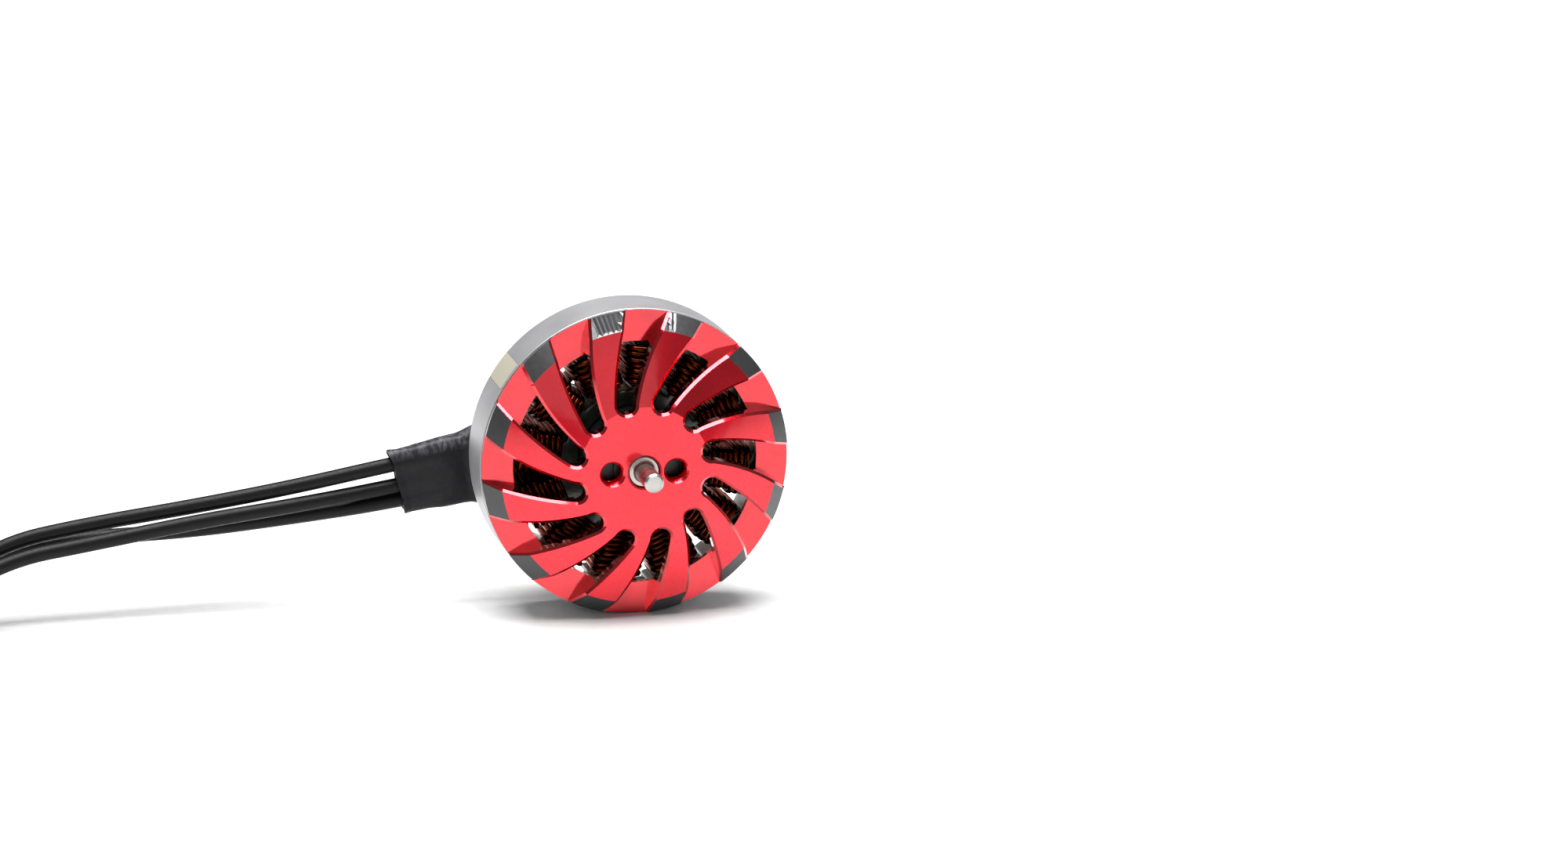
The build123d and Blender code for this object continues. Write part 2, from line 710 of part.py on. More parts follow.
# The coil is wound clockwise, seen from above, from its point nearest the propeller side.
# The wires are equally long, so the inner ones go further round.
with BuildPart() as tinned_ends:
    for coil_r in (COIL_MEAN_R - WIRE_PITCH, COIL_MEAN_R, COIL_MEAN_R + WIRE_PITCH):
        end_angle = -math.pi / 2 - (FREE_LENGTH - RUN_TO_COIL) / coil_r
        start = (
            COIL_X + coil_r * math.cos(end_angle),
            COIL_Y + coil_r * math.sin(end_angle),
            FLOOR + COIL_H + TINNED_R + FIT_GAP,
        )
        direction = (math.sin(end_angle), -math.cos(end_angle), 0)
        with BuildSketch(Plane(origin=start, z_dir=direction)):
            Circle(TINNED_R)
        extrude(amount=TINNED_L)
write(tinned_ends.part, "tinned_ends")

# A band over the coil, open at the floor.
with BuildPart() as wire_tie:
    band = Plane(
        origin=(COIL_X - COIL_MEAN_R, COIL_Y - TIE_W / 2, FLOOR), x_dir=(1, 0, 0), z_dir=(0, 1, 0)
    )
    inner_w = 2 * (COIL_HALF_W + TIE_GAP)
    inner_h = COIL_H + TIE_GAP / 5
    with BuildSketch(band):
        Rectangle(inner_w + 2 * TIE_T, inner_h + TIE_T, align=(Align.CENTER, Align.MAX))
        Rectangle(inner_w, inner_h, align=(Align.CENTER, Align.MAX), mode=Mode.SUBTRACT)
    extrude(amount=TIE_W)
write(wire_tie.part, "wire_tie")
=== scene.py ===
import json
import math
import random

import bmesh
import bpy
from mathutils import Matrix, Vector, noise
from mathutils.geometry import delaunay_2d_cdt


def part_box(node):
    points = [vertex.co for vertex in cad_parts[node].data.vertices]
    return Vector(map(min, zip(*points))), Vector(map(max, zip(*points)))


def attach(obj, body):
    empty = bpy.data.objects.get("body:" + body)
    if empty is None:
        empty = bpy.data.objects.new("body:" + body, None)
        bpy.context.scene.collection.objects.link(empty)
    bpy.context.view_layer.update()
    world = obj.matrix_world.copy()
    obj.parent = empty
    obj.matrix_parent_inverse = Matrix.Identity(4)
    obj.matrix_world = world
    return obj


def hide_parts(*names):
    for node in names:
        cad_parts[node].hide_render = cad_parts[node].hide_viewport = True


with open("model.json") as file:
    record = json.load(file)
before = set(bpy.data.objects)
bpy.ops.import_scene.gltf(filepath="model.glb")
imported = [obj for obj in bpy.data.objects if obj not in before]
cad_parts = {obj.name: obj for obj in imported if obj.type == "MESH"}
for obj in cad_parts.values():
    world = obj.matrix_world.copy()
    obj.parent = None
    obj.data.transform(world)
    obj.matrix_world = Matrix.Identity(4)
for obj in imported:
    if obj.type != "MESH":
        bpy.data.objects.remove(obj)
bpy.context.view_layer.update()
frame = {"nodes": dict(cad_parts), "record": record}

# The shaft lies along Y, with the propeller side at -Y. Routes and profiles below are in
# millimetres: "height" is the distance from the mounting face towards the propeller, and
# angles are seen from the propeller side, counter-clockwise from +X.
MM = 0.001
LEAD_ANGLE = 189.0


def node_mm(node):
    """The lowest and highest corner of a CAD node, in millimetres."""
    low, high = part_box(node)
    return low / MM, high / MM


RING_LOW, RING_HIGH = node_mm("flux_ring")
CAP_LOW, CAP_HIGH = node_mm("bell_cap")
COIL_LOW, COIL_HIGH = node_mm("wire_coil")
STACK_LOW, STACK_HIGH = node_mm("stator_core")
BELL_R = RING_HIGH.x
FLOOR = RING_LOW.z
SEAM = -RING_LOW.y
CAP_R = CAP_HIGH.x
CAP_TOP = -CAP_LOW.y


def at(radius, degrees, height):
    """A point in millimetres from its radius, angle and height."""
    angle = math.radians(degrees)
    return Vector((radius * math.cos(angle), -height, radius * math.sin(angle)))


def outward(distance, sideways, height):
    """A point along the lead direction; sideways is positive towards the top of the sleeve."""
    return at(distance, LEAD_ANGLE, height) + at(sideways, LEAD_ANGLE - 90, 0)


# ---- camera -----------------------------------------------------------------------------
CAMERA_PLACE = (-0.08191, -0.38885, 0.0988)
CAMERA_PAN = 13.902  # degrees from +Y towards +X
CAMERA_PITCH = 13.991  # degrees below the horizon
CAMERA_LENS = 118.94

camera_data = bpy.data.cameras.new("camera")
camera_data.sensor_width = 36
camera_data.lens = CAMERA_LENS
camera_data.clip_start = 0.01
camera = bpy.data.objects.new("camera", camera_data)
camera.location = CAMERA_PLACE
camera.rotation_euler = (math.radians(90 - CAMERA_PITCH), 0, math.radians(-CAMERA_PAN))
bpy.context.scene.collection.objects.link(camera)
bpy.context.scene.camera = camera


# ---- building helpers -------------------------------------------------------------------
def new_object(name, data, body, materials, replaced=()):
    """Links a piece, rides it on its body and hides the CAD nodes it replaces."""
    piece = bpy.data.objects.new(name, data)
    bpy.context.scene.collection.objects.link(piece)
    for material in materials:
        data.materials.append(material)
    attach(piece, body)
    if replaced:
        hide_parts(*replaced)
    return piece


def add_grid(mesh, rows, material=0, closed=False):
    """Quads between rows of points in millimetres; closed joins each row's ends."""
    made = [[mesh.verts.new(point * MM) for point in row] for row in rows]
    for below, above in zip(made, made[1:]):
        count = len(below)
        for i in range(count if closed else count - 1):
            j = (i + 1) % count
            face = mesh.faces.new((below[i], below[j], above[j], above[i]))
            face.material_index = material


def finished(mesh, name, sharp_degrees=30.0, merge=1e-7):
    """Merges a bmesh's coincident points, points its normals outwards and shades it."""
    bmesh.ops.remove_doubles(mesh, verts=mesh.verts, dist=merge)
    bmesh.ops.recalc_face_normals(mesh, faces=mesh.faces)
    data = bpy.data.meshes.new(name)
    mesh.to_mesh(data)
    mesh.free()
    data.shade_smooth()
    data.set_sharp_from_angle(angle=math.radians(sharp_degrees))
    return data


# ---- materials --------------------------------------------------------------------------
class Finish:
    """A Principled material whose colour, roughness and bump come from textures in mm."""

    def __init__(self, name, color, roughness, metallic=0.0, **sockets):
        self.material = bpy.data.materials.new(name)
        self.material.use_nodes = True
        self.nodes = self.material.node_tree.nodes
        self.shader = self.nodes["Principled BSDF"]
        self.shader.inputs["Base Color"].default_value = (*color, 1)
        self.shader.inputs["Roughness"].default_value = roughness
        self.shader.inputs["Metallic"].default_value = metallic
        for socket, value in sockets.items():
            self.shader.inputs[socket.replace("_", " ")].default_value = value
        self.coordinates = self.add("ShaderNodeTexCoord").outputs["Object"]
        self.normal = None

    def add(self, kind, inputs=(), **settings):
        node = self.nodes.new(kind)
        for name, value in settings.items():
            setattr(node, name, value)
        for socket, value in dict(inputs).items():
            if isinstance(value, bpy.types.NodeSocket):
                self.material.node_tree.links.new(value, node.inputs[socket])
            else:
                node.inputs[socket].default_value = value
        return node

    def scaled(self, stretch=(1, 1, 1)):
        """Object coordinates in millimetres, each axis multiplied by stretch."""
        scale = [part / MM for part in stretch]
        return self.add("ShaderNodeMapping", {"Vector": self.coordinates, "Scale": scale}).outputs[0]

    def noise(self, per_mm, detail=3.0, stretch=(1, 1, 1), distortion=0.0):
        inputs = {
            "Vector": self.scaled(stretch),
            "Scale": per_mm,
            "Detail": detail,
            "Distortion": distortion,
        }
        return self.add("ShaderNodeTexNoise", inputs).outputs[0]

    def cells(self, per_mm, stretch=(1, 1, 1)):
        inputs = {"Vector": self.scaled(stretch), "Scale": per_mm}
        return self.add("ShaderNodeTexVoronoi", inputs).outputs["Distance"]

    def radius(self):
        """Distance from the shaft axis, in millimetres."""
        flat = self.scaled((1, 0, 1))
        return self.add("ShaderNodeVectorMath", {0: flat}, operation="LENGTH").outputs["Value"]

    def towards_propeller(self, low, high):
        """0 below one height and 1 above another, with an uneven edge between them."""
        uneven = self.spread(self.noise(1.5), 0, 1, -0.3, 0.3)
        along_shaft = self.add("ShaderNodeSeparateXYZ", {0: self.scaled((1, -1, 1))}).outputs["Y"]
        height = self.add("ShaderNodeMath", {0: along_shaft, 1: uneven}, operation="ADD").outputs[0]
        return self.spread(height, low, high, 0, 1)

    def turning_marks(self, per_mm):
        """Fine concentric lathe grooves, from 0 to 1."""
        inputs = {0: self.radius(), 1: 2 * math.pi * per_mm}
        angle = self.add("ShaderNodeMath", inputs, operation="MULTIPLY").outputs[0]
        wave = self.add("ShaderNodeMath", {0: angle}, operation="SINE").outputs[0]
        return self.spread(wave, -1, 1, 0, 1)

    def spread(self, value, from_low, from_high, low, high):
        inputs = {
            "Value": value,
            "From Min": from_low,
            "From Max": from_high,
            "To Min": low,
            "To Max": high,
        }
        return self.add("ShaderNodeMapRange", inputs).outputs["Result"]

    def color_mix(self, factor, first, second):
        """first and second are colours or sockets; factor 0 gives the first."""
        node = self.add("ShaderNodeMix", data_type="RGBA")
        for index, value in ((0, factor), (6, first), (7, second)):
            if isinstance(value, bpy.types.NodeSocket):
                self.material.node_tree.links.new(value, node.inputs[index])
            else:
                node.inputs[index].default_value = (*value, 1)
        return node.outputs[2]

    def set(self, socket, value):
        self.material.node_tree.links.new(value, self.shader.inputs[socket])

    def bump(self, height, depth_mm):
        """Adds a layer of bump; layers stack in the order they are added."""
        inputs = {"Height": height, "Distance": depth_mm * MM, "Strength": 1.0}
        if self.normal is not None:
            inputs["Normal"] = self.normal
        self.normal = self.add("ShaderNodeBump", inputs).outputs["Normal"]
        self.set("Normal", self.normal)


RED = (0.76, 0.006, 0.022)
DEEP_RED = (0.66, 0.004, 0.015)
DARK_RED = (0.48, 0.003, 0.01)


def red_anodised():
    finish = Finish("red_anodised", RED, 0.38, 1.0, Coat_Weight=1.0, Coat_Roughness=0.09)
    cloud = finish.noise(0.35, 2.0)
    grain = finish.noise(22.0, 4.0)
    finish.set("Base Color", finish.color_mix(finish.spread(cloud, 0.35, 0.7, 0, 1), RED, DEEP_RED))
    finish.set("Roughness", finish.spread(grain, 0.3, 0.7, 0.25, 0.35))
    finish.bump(grain, 0.003)
    finish.bump(finish.turning_marks(9.0), 0.0012)
    return finish.material


def red_milled():
    """The milled walls, chamfers and low land, shinier than the turned top."""
    finish = Finish("red_milled", RED, 0.18, 1.0, Coat_Weight=1.0, Coat_Roughness=0.05, Coat_IOR=1.6)
    cloud = finish.noise(0.5, 2.0)
    finish.set("Base Color", finish.color_mix(finish.spread(cloud, 0.35, 0.7, 0, 1), DEEP_RED, DARK_RED))
    finish.set("Roughness", finish.spread(finish.noise(5.0, 3.0), 0.3, 0.7, 0.13, 0.23))
    finish.bump(finish.noise(12.0, 3.0), 0.002)
    return finish.material


def tip_grey():
    finish = Finish("tip_grey", (0.06, 0.06, 0.062), 0.34, 0.6)
    finish.bump(finish.noise(25.0, 3.0), 0.004)
    finish.set("Roughness", finish.spread(finish.noise(2.0), 0.3, 0.7, 0.3, 0.4))
    return finish.material


def bare_aluminium():
    finish = Finish("bare_aluminium", (0.17, 0.17, 0.175), 0.42, 1.0)
    finish.bump(finish.noise(9.0, 4.0), 0.012)
    return finish.material


def turned_edge():
    """The bright turned edge of the cap, beside the flux ring."""
    return plain("turned_edge", (0.5, 0.49, 0.5), 0.35, 1.0, 12.0, 0.003)


def ring_coating():
    """Satin grey on the outside, glossy black on the rim and inside."""
    finish = Finish("ring_coating", (0.3, 0.3, 0.31), 0.32, 0.85)
    side = finish.spread(finish.radius(), BELL_R - 0.06, BELL_R - 0.04, 0, 1)
    grain = finish.noise(16.0, 4.0)
    tone = finish.color_mix(
        finish.spread(finish.noise(0.25), 0.35, 0.65, 0, 1), (0.46, 0.46, 0.47), (0.4, 0.4, 0.41)
    )
    finish.set("Base Color", finish.color_mix(side, (0.012, 0.012, 0.013), tone))
    finish.set("Metallic", finish.spread(side, 0, 1, 0.1, 0.7))
    finish.set("Roughness", finish.spread(grain, 0.3, 0.7, 0.4, 0.5))
    finish.bump(grain, 0.0015)
    return finish.material


def magnet_plating():
    finish = Finish("magnet_plating", (0.72, 0.75, 0.74), 0.4, 0.55)
    pits = finish.spread(finish.noise(5.0, 5.0), 0.34, 0.4, 1, 0)
    finish.set("Base Color", finish.color_mix(pits, (0.74, 0.77, 0.76), (0.52, 0.53, 0.53)))
    finish.bump(finish.noise(9.0, 4.0), 0.012)
    return finish.material


def epoxy():
    finish = Finish("epoxy_black", (0.012, 0.011, 0.011), 0.12, Coat_Weight=0.5)
    finish.bump(finish.noise(1.6, 2.0), 0.12)
    return finish.material


def balance_putty():
    finish = Finish("balance_putty", (0.075, 0.06, 0.055), 0.55)
    lumps = finish.noise(2.5, 4.0)
    tone = finish.spread(lumps, 0.3, 0.7, 0, 1)
    finish.set("Base Color", finish.color_mix(tone, (0.05, 0.04, 0.037), (0.13, 0.1, 0.09)))
    finish.bump(lumps, 0.08)
    finish.bump(finish.cells(11.0), 0.02)
    return finish.material


def steel(name, color, roughness, marks_per_mm, marks_mm):
    """Turned or ground steel, with concentric tool marks and slight smears."""
    finish = Finish(name, color, roughness, 1.0)
    smears = finish.noise(1.2, 3.0)
    finish.set("Roughness", finish.spread(smears, 0.3, 0.7, roughness * 0.8, roughness * 1.5))
    finish.bump(finish.turning_marks(marks_per_mm), marks_mm)
    finish.bump(finish.noise(14.0, 3.0), 0.003)
    return finish.material


def black_anodised():
    finish = Finish("black_anodised", (0.016, 0.016, 0.018), 0.38, 0.35)
    grain = finish.noise(26.0, 4.0)
    specks = finish.spread(finish.cells(1.1), 0.0, 0.035, 1, 0)
    finish.set("Base Color", finish.color_mix(specks, (0.016, 0.016, 0.018), (0.4, 0.4, 0.4)))
    finish.set("Roughness", finish.spread(grain, 0.3, 0.7, 0.3, 0.45))
    finish.bump(grain, 0.006)
    return finish.material


def stator_paint():
    finish = Finish("stator_green", (0.095, 0.21, 0.055), 0.3, Coat_Weight=0.4, Coat_Roughness=0.15)
    tone = finish.spread(finish.noise(0.8, 3.0), 0.35, 0.65, 0, 1)
    paint = finish.color_mix(tone, (0.075, 0.17, 0.045), (0.13, 0.27, 0.075))
    # Towards the propeller the green is darkened to near-black: painted shade for the dim inside under the
    # cap.
    painted_shade = finish.towards_propeller(8.6, 9.3)
    finish.set("Base Color", finish.color_mix(painted_shade, paint, (0.008, 0.014, 0.006)))
    finish.bump(finish.noise(2.2, 3.0), 0.05)
    finish.bump(finish.noise(18.0, 3.0), 0.006)
    return finish.material


def copper_enamel():
    """Bright and varnished on the base side; towards the propeller darkened to near-black as painted shade
    for the deep shade under the cap.
    """
    finish = Finish("copper_enamel", (0.4, 0.08, 0.02), 0.24, 1.0, Coat_Roughness=0.1)
    tone = finish.spread(finish.noise(1.1, 2.0), 0.35, 0.65, 0, 1)
    # Painted shade: the copper darkens towards the propeller and its coat thins with it.
    painted_shade = finish.towards_propeller(8.0, 9.6)
    back = finish.color_mix(tone, (0.6, 0.13, 0.03), (0.34, 0.05, 0.012))
    front = finish.color_mix(tone, (0.1, 0.018, 0.003), (0.025, 0.004, 0.001))
    finish.set("Base Color", finish.color_mix(painted_shade, back, front))
    finish.set("Coat Weight", finish.spread(painted_shade, 0, 1, 0.25, 0.02))
    finish.set("Roughness", finish.spread(finish.noise(5.0), 0.3, 0.7, 0.14, 0.26))
    finish.bump(finish.noise(6.0, 2.0), 0.015)
    return finish.material


def heat_shrink():
    black = (0.006, 0.006, 0.0075)
    finish = Finish("heat_shrink", black, 0.42, Specular_IOR_Level=0.2)
    finish.set("Roughness", finish.spread(finish.noise(3.0, 4.0), 0.3, 0.7, 0.34, 0.5))
    finish.bump(finish.noise(30.0, 3.0), 0.006)
    finish.bump(finish.noise(1.1, 3.0), 0.015)
    scratches = finish.spread(finish.noise(3.0, 2.0, (0.25, 1, 5), 0.6), 0.66, 0.7, 0, 1)
    finish.bump(scratches, 0.006)
    # The fold along the top edge is painted a lighter frosty grey with streaks: a painted highlight, partly
    # rubbed wear.
    across = {0: finish.scaled(), 1: outward(0, 1, 0)}
    place = finish.add("ShaderNodeVectorMath", across, operation="DOT_PRODUCT").outputs["Value"]
    fold = finish.spread(place, 1.75, 2.35, 0, 1)
    streaks = finish.spread(finish.noise(2.2, 4.0, (1.6, 0.6, 0.8), 0.4), 0.4, 0.7, 0.15, 1)
    painted_highlight_and_wear = finish.add("ShaderNodeMath", {0: fold, 1: streaks}, operation="MULTIPLY").outputs[0]
    finish.set("Base Color", finish.color_mix(painted_highlight_and_wear, black, (0.09, 0.088, 0.098)))
    return finish.material


def wire_silicone():
    """Soft black rubber with a fine texture and scattered dust."""
    black = (0.004, 0.004, 0.0045)
    finish = Finish("wire_silicone", black, 0.42, Specular_IOR_Level=0.16)
    specks = finish.spread(finish.cells(1.4), 0.0, 0.025, 1, 0)
    finish.set("Base Color", finish.color_mix(specks, black, (0.3, 0.3, 0.31)))
    finish.set("Roughness", finish.spread(finish.noise(3.0, 4.0), 0.3, 0.7, 0.34, 0.5))
    finish.bump(finish.noise(30.0, 3.0), 0.006)
    return finish.material


def woven_sleeving():
    finish = Finish("lead_sleeving", (0.02, 0.02, 0.022), 0.6)
    weave = finish.cells(5.5)
    gaps = finish.spread(weave, 0.1, 0.75, 0, 1)
    finish.set("Base Color", finish.color_mix(gaps, (0.045, 0.045, 0.048), (0.008, 0.008, 0.009)))
    finish.bump(finish.spread(weave, 0, 0.8, 1, 0), 0.06)
    return finish.material


def plain(name, color, roughness, metallic=0.0, grain_per_mm=15.0, grain_mm=0.006):
    """A small fitting's finish, with fine grain."""
    finish = Finish(name, color, roughness, metallic)
    grain = finish.noise(grain_per_mm, 3.0)
    finish.set("Roughness", finish.spread(grain, 0.3, 0.7, roughness * 0.8, roughness * 1.25))
    finish.bump(grain, grain_mm)
    return finish.material


MATERIALS = {
    "red_anodised": red_anodised(),
    "ring_steel": ring_coating(),
    "magnet_nickel": magnet_plating(),
    "epoxy_black": epoxy(),
    "balance_putty": balance_putty(),
    "shaft_steel": steel("shaft_steel", (0.42, 0.41, 0.385), 0.26, 9.0, 0.0015),
    "washer_brass": steel("washer_brass", (0.7, 0.55, 0.24), 0.26, 8.0, 0.0015),
    "clip_steel": plain("clip_steel", (0.02, 0.02, 0.02), 0.22, 0.6),
    "bearing_steel": steel("bearing_steel", (0.55, 0.53, 0.5), 0.18, 4.0, 0.003),
    "ball_steel": steel("ball_steel", (0.8, 0.8, 0.8), 0.08, 3.0, 0.0005),
    "cage_steel": plain("cage_steel", (0.55, 0.53, 0.5), 0.35, 1.0),
    "black_anodised": black_anodised(),
    "shield_steel": steel("shield_steel", (0.5, 0.48, 0.45), 0.25, 3.0, 0.004),
    "stator_green": stator_paint(),
    "copper_enamel": copper_enamel(),
    "lead_sleeving": woven_sleeving(),
    "solder": plain("solder", (0.6, 0.6, 0.58), 0.3, 1.0, 4.0, 0.03),
    "heat_shrink": heat_shrink(),
    "wire_silicone": wire_silicone(),
    "tie_plastic": plain("tie_plastic", (0.02, 0.02, 0.02), 0.4),
}
# The shields behind the hub get near-black steel: painted shade for the dim inside seen through the holes.
painted_shade_steel = plain("painted_shade_steel", (0.03, 0.028, 0.026), 0.3, 0.8)
for part in frame["record"]["subparts"]:
    mesh = frame["nodes"][part["node"]].data
    mesh.materials.clear()
    behind_hub = part["node"].startswith("upper_")
    mesh.materials.append(painted_shade_steel if behind_hub else MATERIALS[part["material_slot"]])

# ---- phase wires ------------------------------------------------------------------------
WIRE_R = 0.6
WIRE_PITCH = 1.22
WIRE_HEIGHT = 1.3
WIRE_START = 9.85
SLEEVE_END = 17.4
COIL_X = (COIL_LOW.x + COIL_HIGH.x) / 2
COIL_Y = (COIL_LOW.y + COIL_HIGH.y) / 2
COIL_MEAN_R = 7.2
FREE_LENGTH = 105.0
RUN_TO_COIL = 44.0
TURN_POINTS = 18
CROSSING = 325.0  # degrees wound where the second turn passes over the arriving wires
CROSSING_HALF = 75.0
CROSSING_RISE = 2.8
LIFT_TO_END = 40.0  # degrees over which a wire rises to its tinned end

# As (place across the sleeve, radius in the coil, points on the way).
WIRE_ROUTES = {
    "a": (
        1.45,
        COIL_MEAN_R,
        [
            (-25.2, -1.35, -2.62),
            (-33.5, -1.4, -3.74),
            (-41.5, -1.45, -4.62),
            (-48.3, -1.5, -5.75),
            (-54.6, -3.4, -9.4),
        ],
    ),
    "b": (
        -0.33,
        COIL_MEAN_R + WIRE_PITCH,
        [
            (-25.3, -1.9, -3.98),
            (-33.0, -2.35, -4.68),
            (-41.0, -2.5, -5.85),
            (-48.0, -2.7, -6.75),
            (-54.4, -4.8, -9.9),
        ],
    ),
    "c": (
        -1.55,
        COIL_MEAN_R - WIRE_PITCH,
        [
            (-25.6, -0.3, -5.35),
            (-33.5, 0.25, -6.08),
            (-41.5, 0.45, -6.15),
            (-48.0, 0.4, -6.75),
            (-54.4, -1.95, -9.9),
        ],
    ),
}
BOTTOM_LAYER = FLOOR + WIRE_R + 0.02
TOP_LAYER = BOTTOM_LAYER + 2 * WIRE_R
END_HEIGHT = (node_mm("tinned_ends")[0].z + node_mm("tinned_ends")[1].z) / 2


def smooth(share):
    share = min(1.0, max(0.0, share))
    return share * share * (3 - 2 * share)


def coil_height(wound, total):
    """The wire's height after so many degrees round the coil."""
    up = smooth((wound - CROSSING + CROSSING_HALF) / CROSSING_HALF)
    down = smooth((wound - CROSSING) / CROSSING_HALF)
    height = BOTTOM_LAYER + CROSSING_RISE * up - (CROSSING_RISE - 2 * WIRE_R) * down
    lift = smooth((wound - total + LIFT_TO_END) / LIFT_TO_END)
    return height + lift * (END_HEIGHT - TOP_LAYER)


def coil_turns(coil_r):
    """The points of a wire's own line round the coil, clockwise seen from above."""
    total = math.degrees((FREE_LENGTH - RUN_TO_COIL) / coil_r)
    steps = math.ceil(total / 360 * TURN_POINTS)
    points = []
    for step in range(1, steps + 1):
        wound = total * step / steps
        angle = math.radians(-90 - wound)
        x = COIL_X + coil_r * math.cos(angle)
        y = COIL_Y + coil_r * math.sin(angle)
        points.append((x, y, coil_height(wound, total)))
    return points


def nurbs_line(curve, points):
    """A smooth open line through millimetre points, as a NURBS spline of the curve."""
    spline = curve.splines.new("NURBS")
    spline.points.add(len(points) - 1)
    for target, point in zip(spline.points, points):
        target.co = (*(Vector(point) * MM), 1)
    spline.order_u = 3
    spline.use_endpoint_u = True


def wire_curve(name, radius, resolution=8):
    curve = bpy.data.curves.new(name, "CURVE")
    curve.dimensions = "3D"
    curve.bevel_depth = radius * MM
    curve.bevel_resolution = 6
    curve.resolution_u = resolution
    curve.use_fill_caps = True
    return curve


for phase, (sideways, coil_r, waypoints) in WIRE_ROUTES.items():
    route = [
        outward(WIRE_START, sideways, WIRE_HEIGHT),
        outward(SLEEVE_END + 0.2, sideways, WIRE_HEIGHT),
        *waypoints,
        (COIL_X, COIL_Y - coil_r, BOTTOM_LAYER),
        *coil_turns(coil_r),
    ]
    curve = wire_curve(f"phase_wire_{phase}_line", WIRE_R)
    nurbs_line(curve, route)
    wire = new_object(
        f"phase_wire_{phase}_insulation",
        curve,
        "stator",
        [MATERIALS["wire_silicone"]],
        [f"phase_wire_{phase}", "wire_coil"],
    )

# ---- bell cap ---------------------------------------------------------------------------
CAP_FLOOR = 10.15
SEAT_R = 5.15
SHOULDER_R, SHOULDER = 10.8, 11.7
TIP_FOOT = 10.4
SLOTS = 12
SLOT_PITCH = 360 / SLOTS
FIRST_SLOT = 94  # degrees, about the middle of the first slot
SLOT_OPEN_R = 9.6
SLOT_LEFT = ((5.7, 111.6), (8.7, 101.1), (12.6, 92.0))
SLOT_RIGHT = ((5.45, 96.2), (8.7, 86.0), (12.6, 76.2))
SLOT_END = (4.75, 104.6)
SLOTS_START_R = 4.0  # no slot edge lies nearer to the shaft than this
EDGE_CHAMFER = 0.2
UNDERSIDE = ((0, 12.1), (2.2, 12.1), (2.25, 12.3), (4.9, 12.3), (9.35, 11.1), (9.6, 10.7))
TOP = ((0, CAP_TOP), (SEAT_R, CAP_TOP), (SHOULDER_R, SHOULDER), (CAP_R, TIP_FOOT))
SPIGOT_R, SPIGOT_FOOT = 11.16, 9.65
BORE_R = 1.26
PROP_HOLE_R, PROP_HOLE_X = 0.9, 2.5
MOUTH = 0.12
HOLE_STEPS = 36
THREAD_PITCH, THREAD_DEPTH = 0.4, 0.09
ROWS_PER_THREAD = 8
GROOVE_PITCH = 1.72  # degrees between the milled balance grooves
GROOVES = [93.9 + GROOVE_PITCH * k for k in range(8)] + [75.2, 77.0]
GROOVE_START_R = 10.95
GROOVE_DEPTH = 0.16
ON_RIM = 1e-3
EDGE_MERGE = 0.012
SHORTEST_EDGE = 0.02
GROOVE_SEEN = 0.02  # the share of a groove's depth from which it shows bare metal
TOP_CIRCLES = (4, 6.2, 7.4, 8.5, 9.6, 10.3, 11.4)
GROOVE_CIRCLES = (GROOVE_START_R, 11.2, 11.6)
UNDERSIDE_CIRCLES = (6.4, 7.9)
LAND_CIRCLE_R = 10.8
TIPS, GROOVED, MILLED, TURNED_EDGE = 1, 2, 3, 4  # places in the cap's material slots
SEAM_GROOVE = 0.1
CIRCLE_STEP = 2.5  # degrees


def disc(radius, degrees):
    """A point of the plane across the shaft."""
    return Vector((radius * math.cos(math.radians(degrees)), radius * math.sin(math.radians(degrees))))


def circle(radius, step=CIRCLE_STEP, centre=Vector((0, 0))):
    return [centre + disc(radius, step * k) for k in range(round(360 / step))]


def arc_through(start, middle, end, steps):
    """Points along the circular arc through three points, both ends included."""
    one, two = middle - start, end - start
    twice_area = 2 * one.cross(two)
    centre = start + Vector((
        (two.y * one.length_squared - one.y * two.length_squared) / twice_area,
        (one.x * two.length_squared - two.x * one.length_squared) / twice_area,
    ))
    spoke = start - centre
    full = 2 * math.pi
    bend = [math.atan2(spoke.cross(p - centre), spoke.dot(p - centre)) % full for p in (middle, end)]
    sweep = bend[1] if bend[0] < bend[1] else bend[1] - full
    return [centre + Matrix.Rotation(sweep * k / steps, 2) @ spoke for k in range(steps + 1)]


def along(profile, radius):
    """The height of a (radius, height) profile at a radius."""
    for (r0, h0), (r1, h1) in zip(profile, profile[1:]):
        if radius <= r1:
            return h0 + (h1 - h0) * (radius - r0) / (r1 - r0)
    return profile[-1][1]


def slot_outline(turn, grown=0.0):
    """One slot's closed outline, made larger all round by grown."""
    left, right = ([disc(r, a + turn) for r, a in side] for side in (SLOT_LEFT, SLOT_RIGHT))
    inner = arc_through(left[0], disc(SLOT_END[0], SLOT_END[1] + turn), right[0], 14)
    sides = [arc_through(*side, 36) for side in (left, right)]
    loop = sides[0][::-1][:-1] + inner + sides[1][1:]
    # The through opening's outer end needs a point of its own on both sides.
    for i in range(len(loop) - 1, 0, -1):
        before, after = loop[i - 1].length, loop[i].length
        if (before - SLOT_OPEN_R) * (after - SLOT_OPEN_R) < 0:
            share = (SLOT_OPEN_R - before) / (after - before)
            loop.insert(i, loop[i - 1].lerp(loop[i], share).normalized() * SLOT_OPEN_R)
    if not grown:
        return loop
    moved = []
    for i, point in enumerate(loop):
        ahead = loop[min(i + 1, len(loop) - 1)] - loop[max(i - 1, 0)]
        moved.append(point + Vector((ahead.y, -ahead.x)).normalized() * grown)
    return moved


def inside(point, loop):
    crossings = False
    for a, b in zip(loop, loop[1:] + loop[:1]):
        if (a.y > point.y) != (b.y > point.y):
            if point.x < a.x + (point.y - a.y) * (b.x - a.x) / (b.y - a.y):
                crossings = not crossings
    return crossings


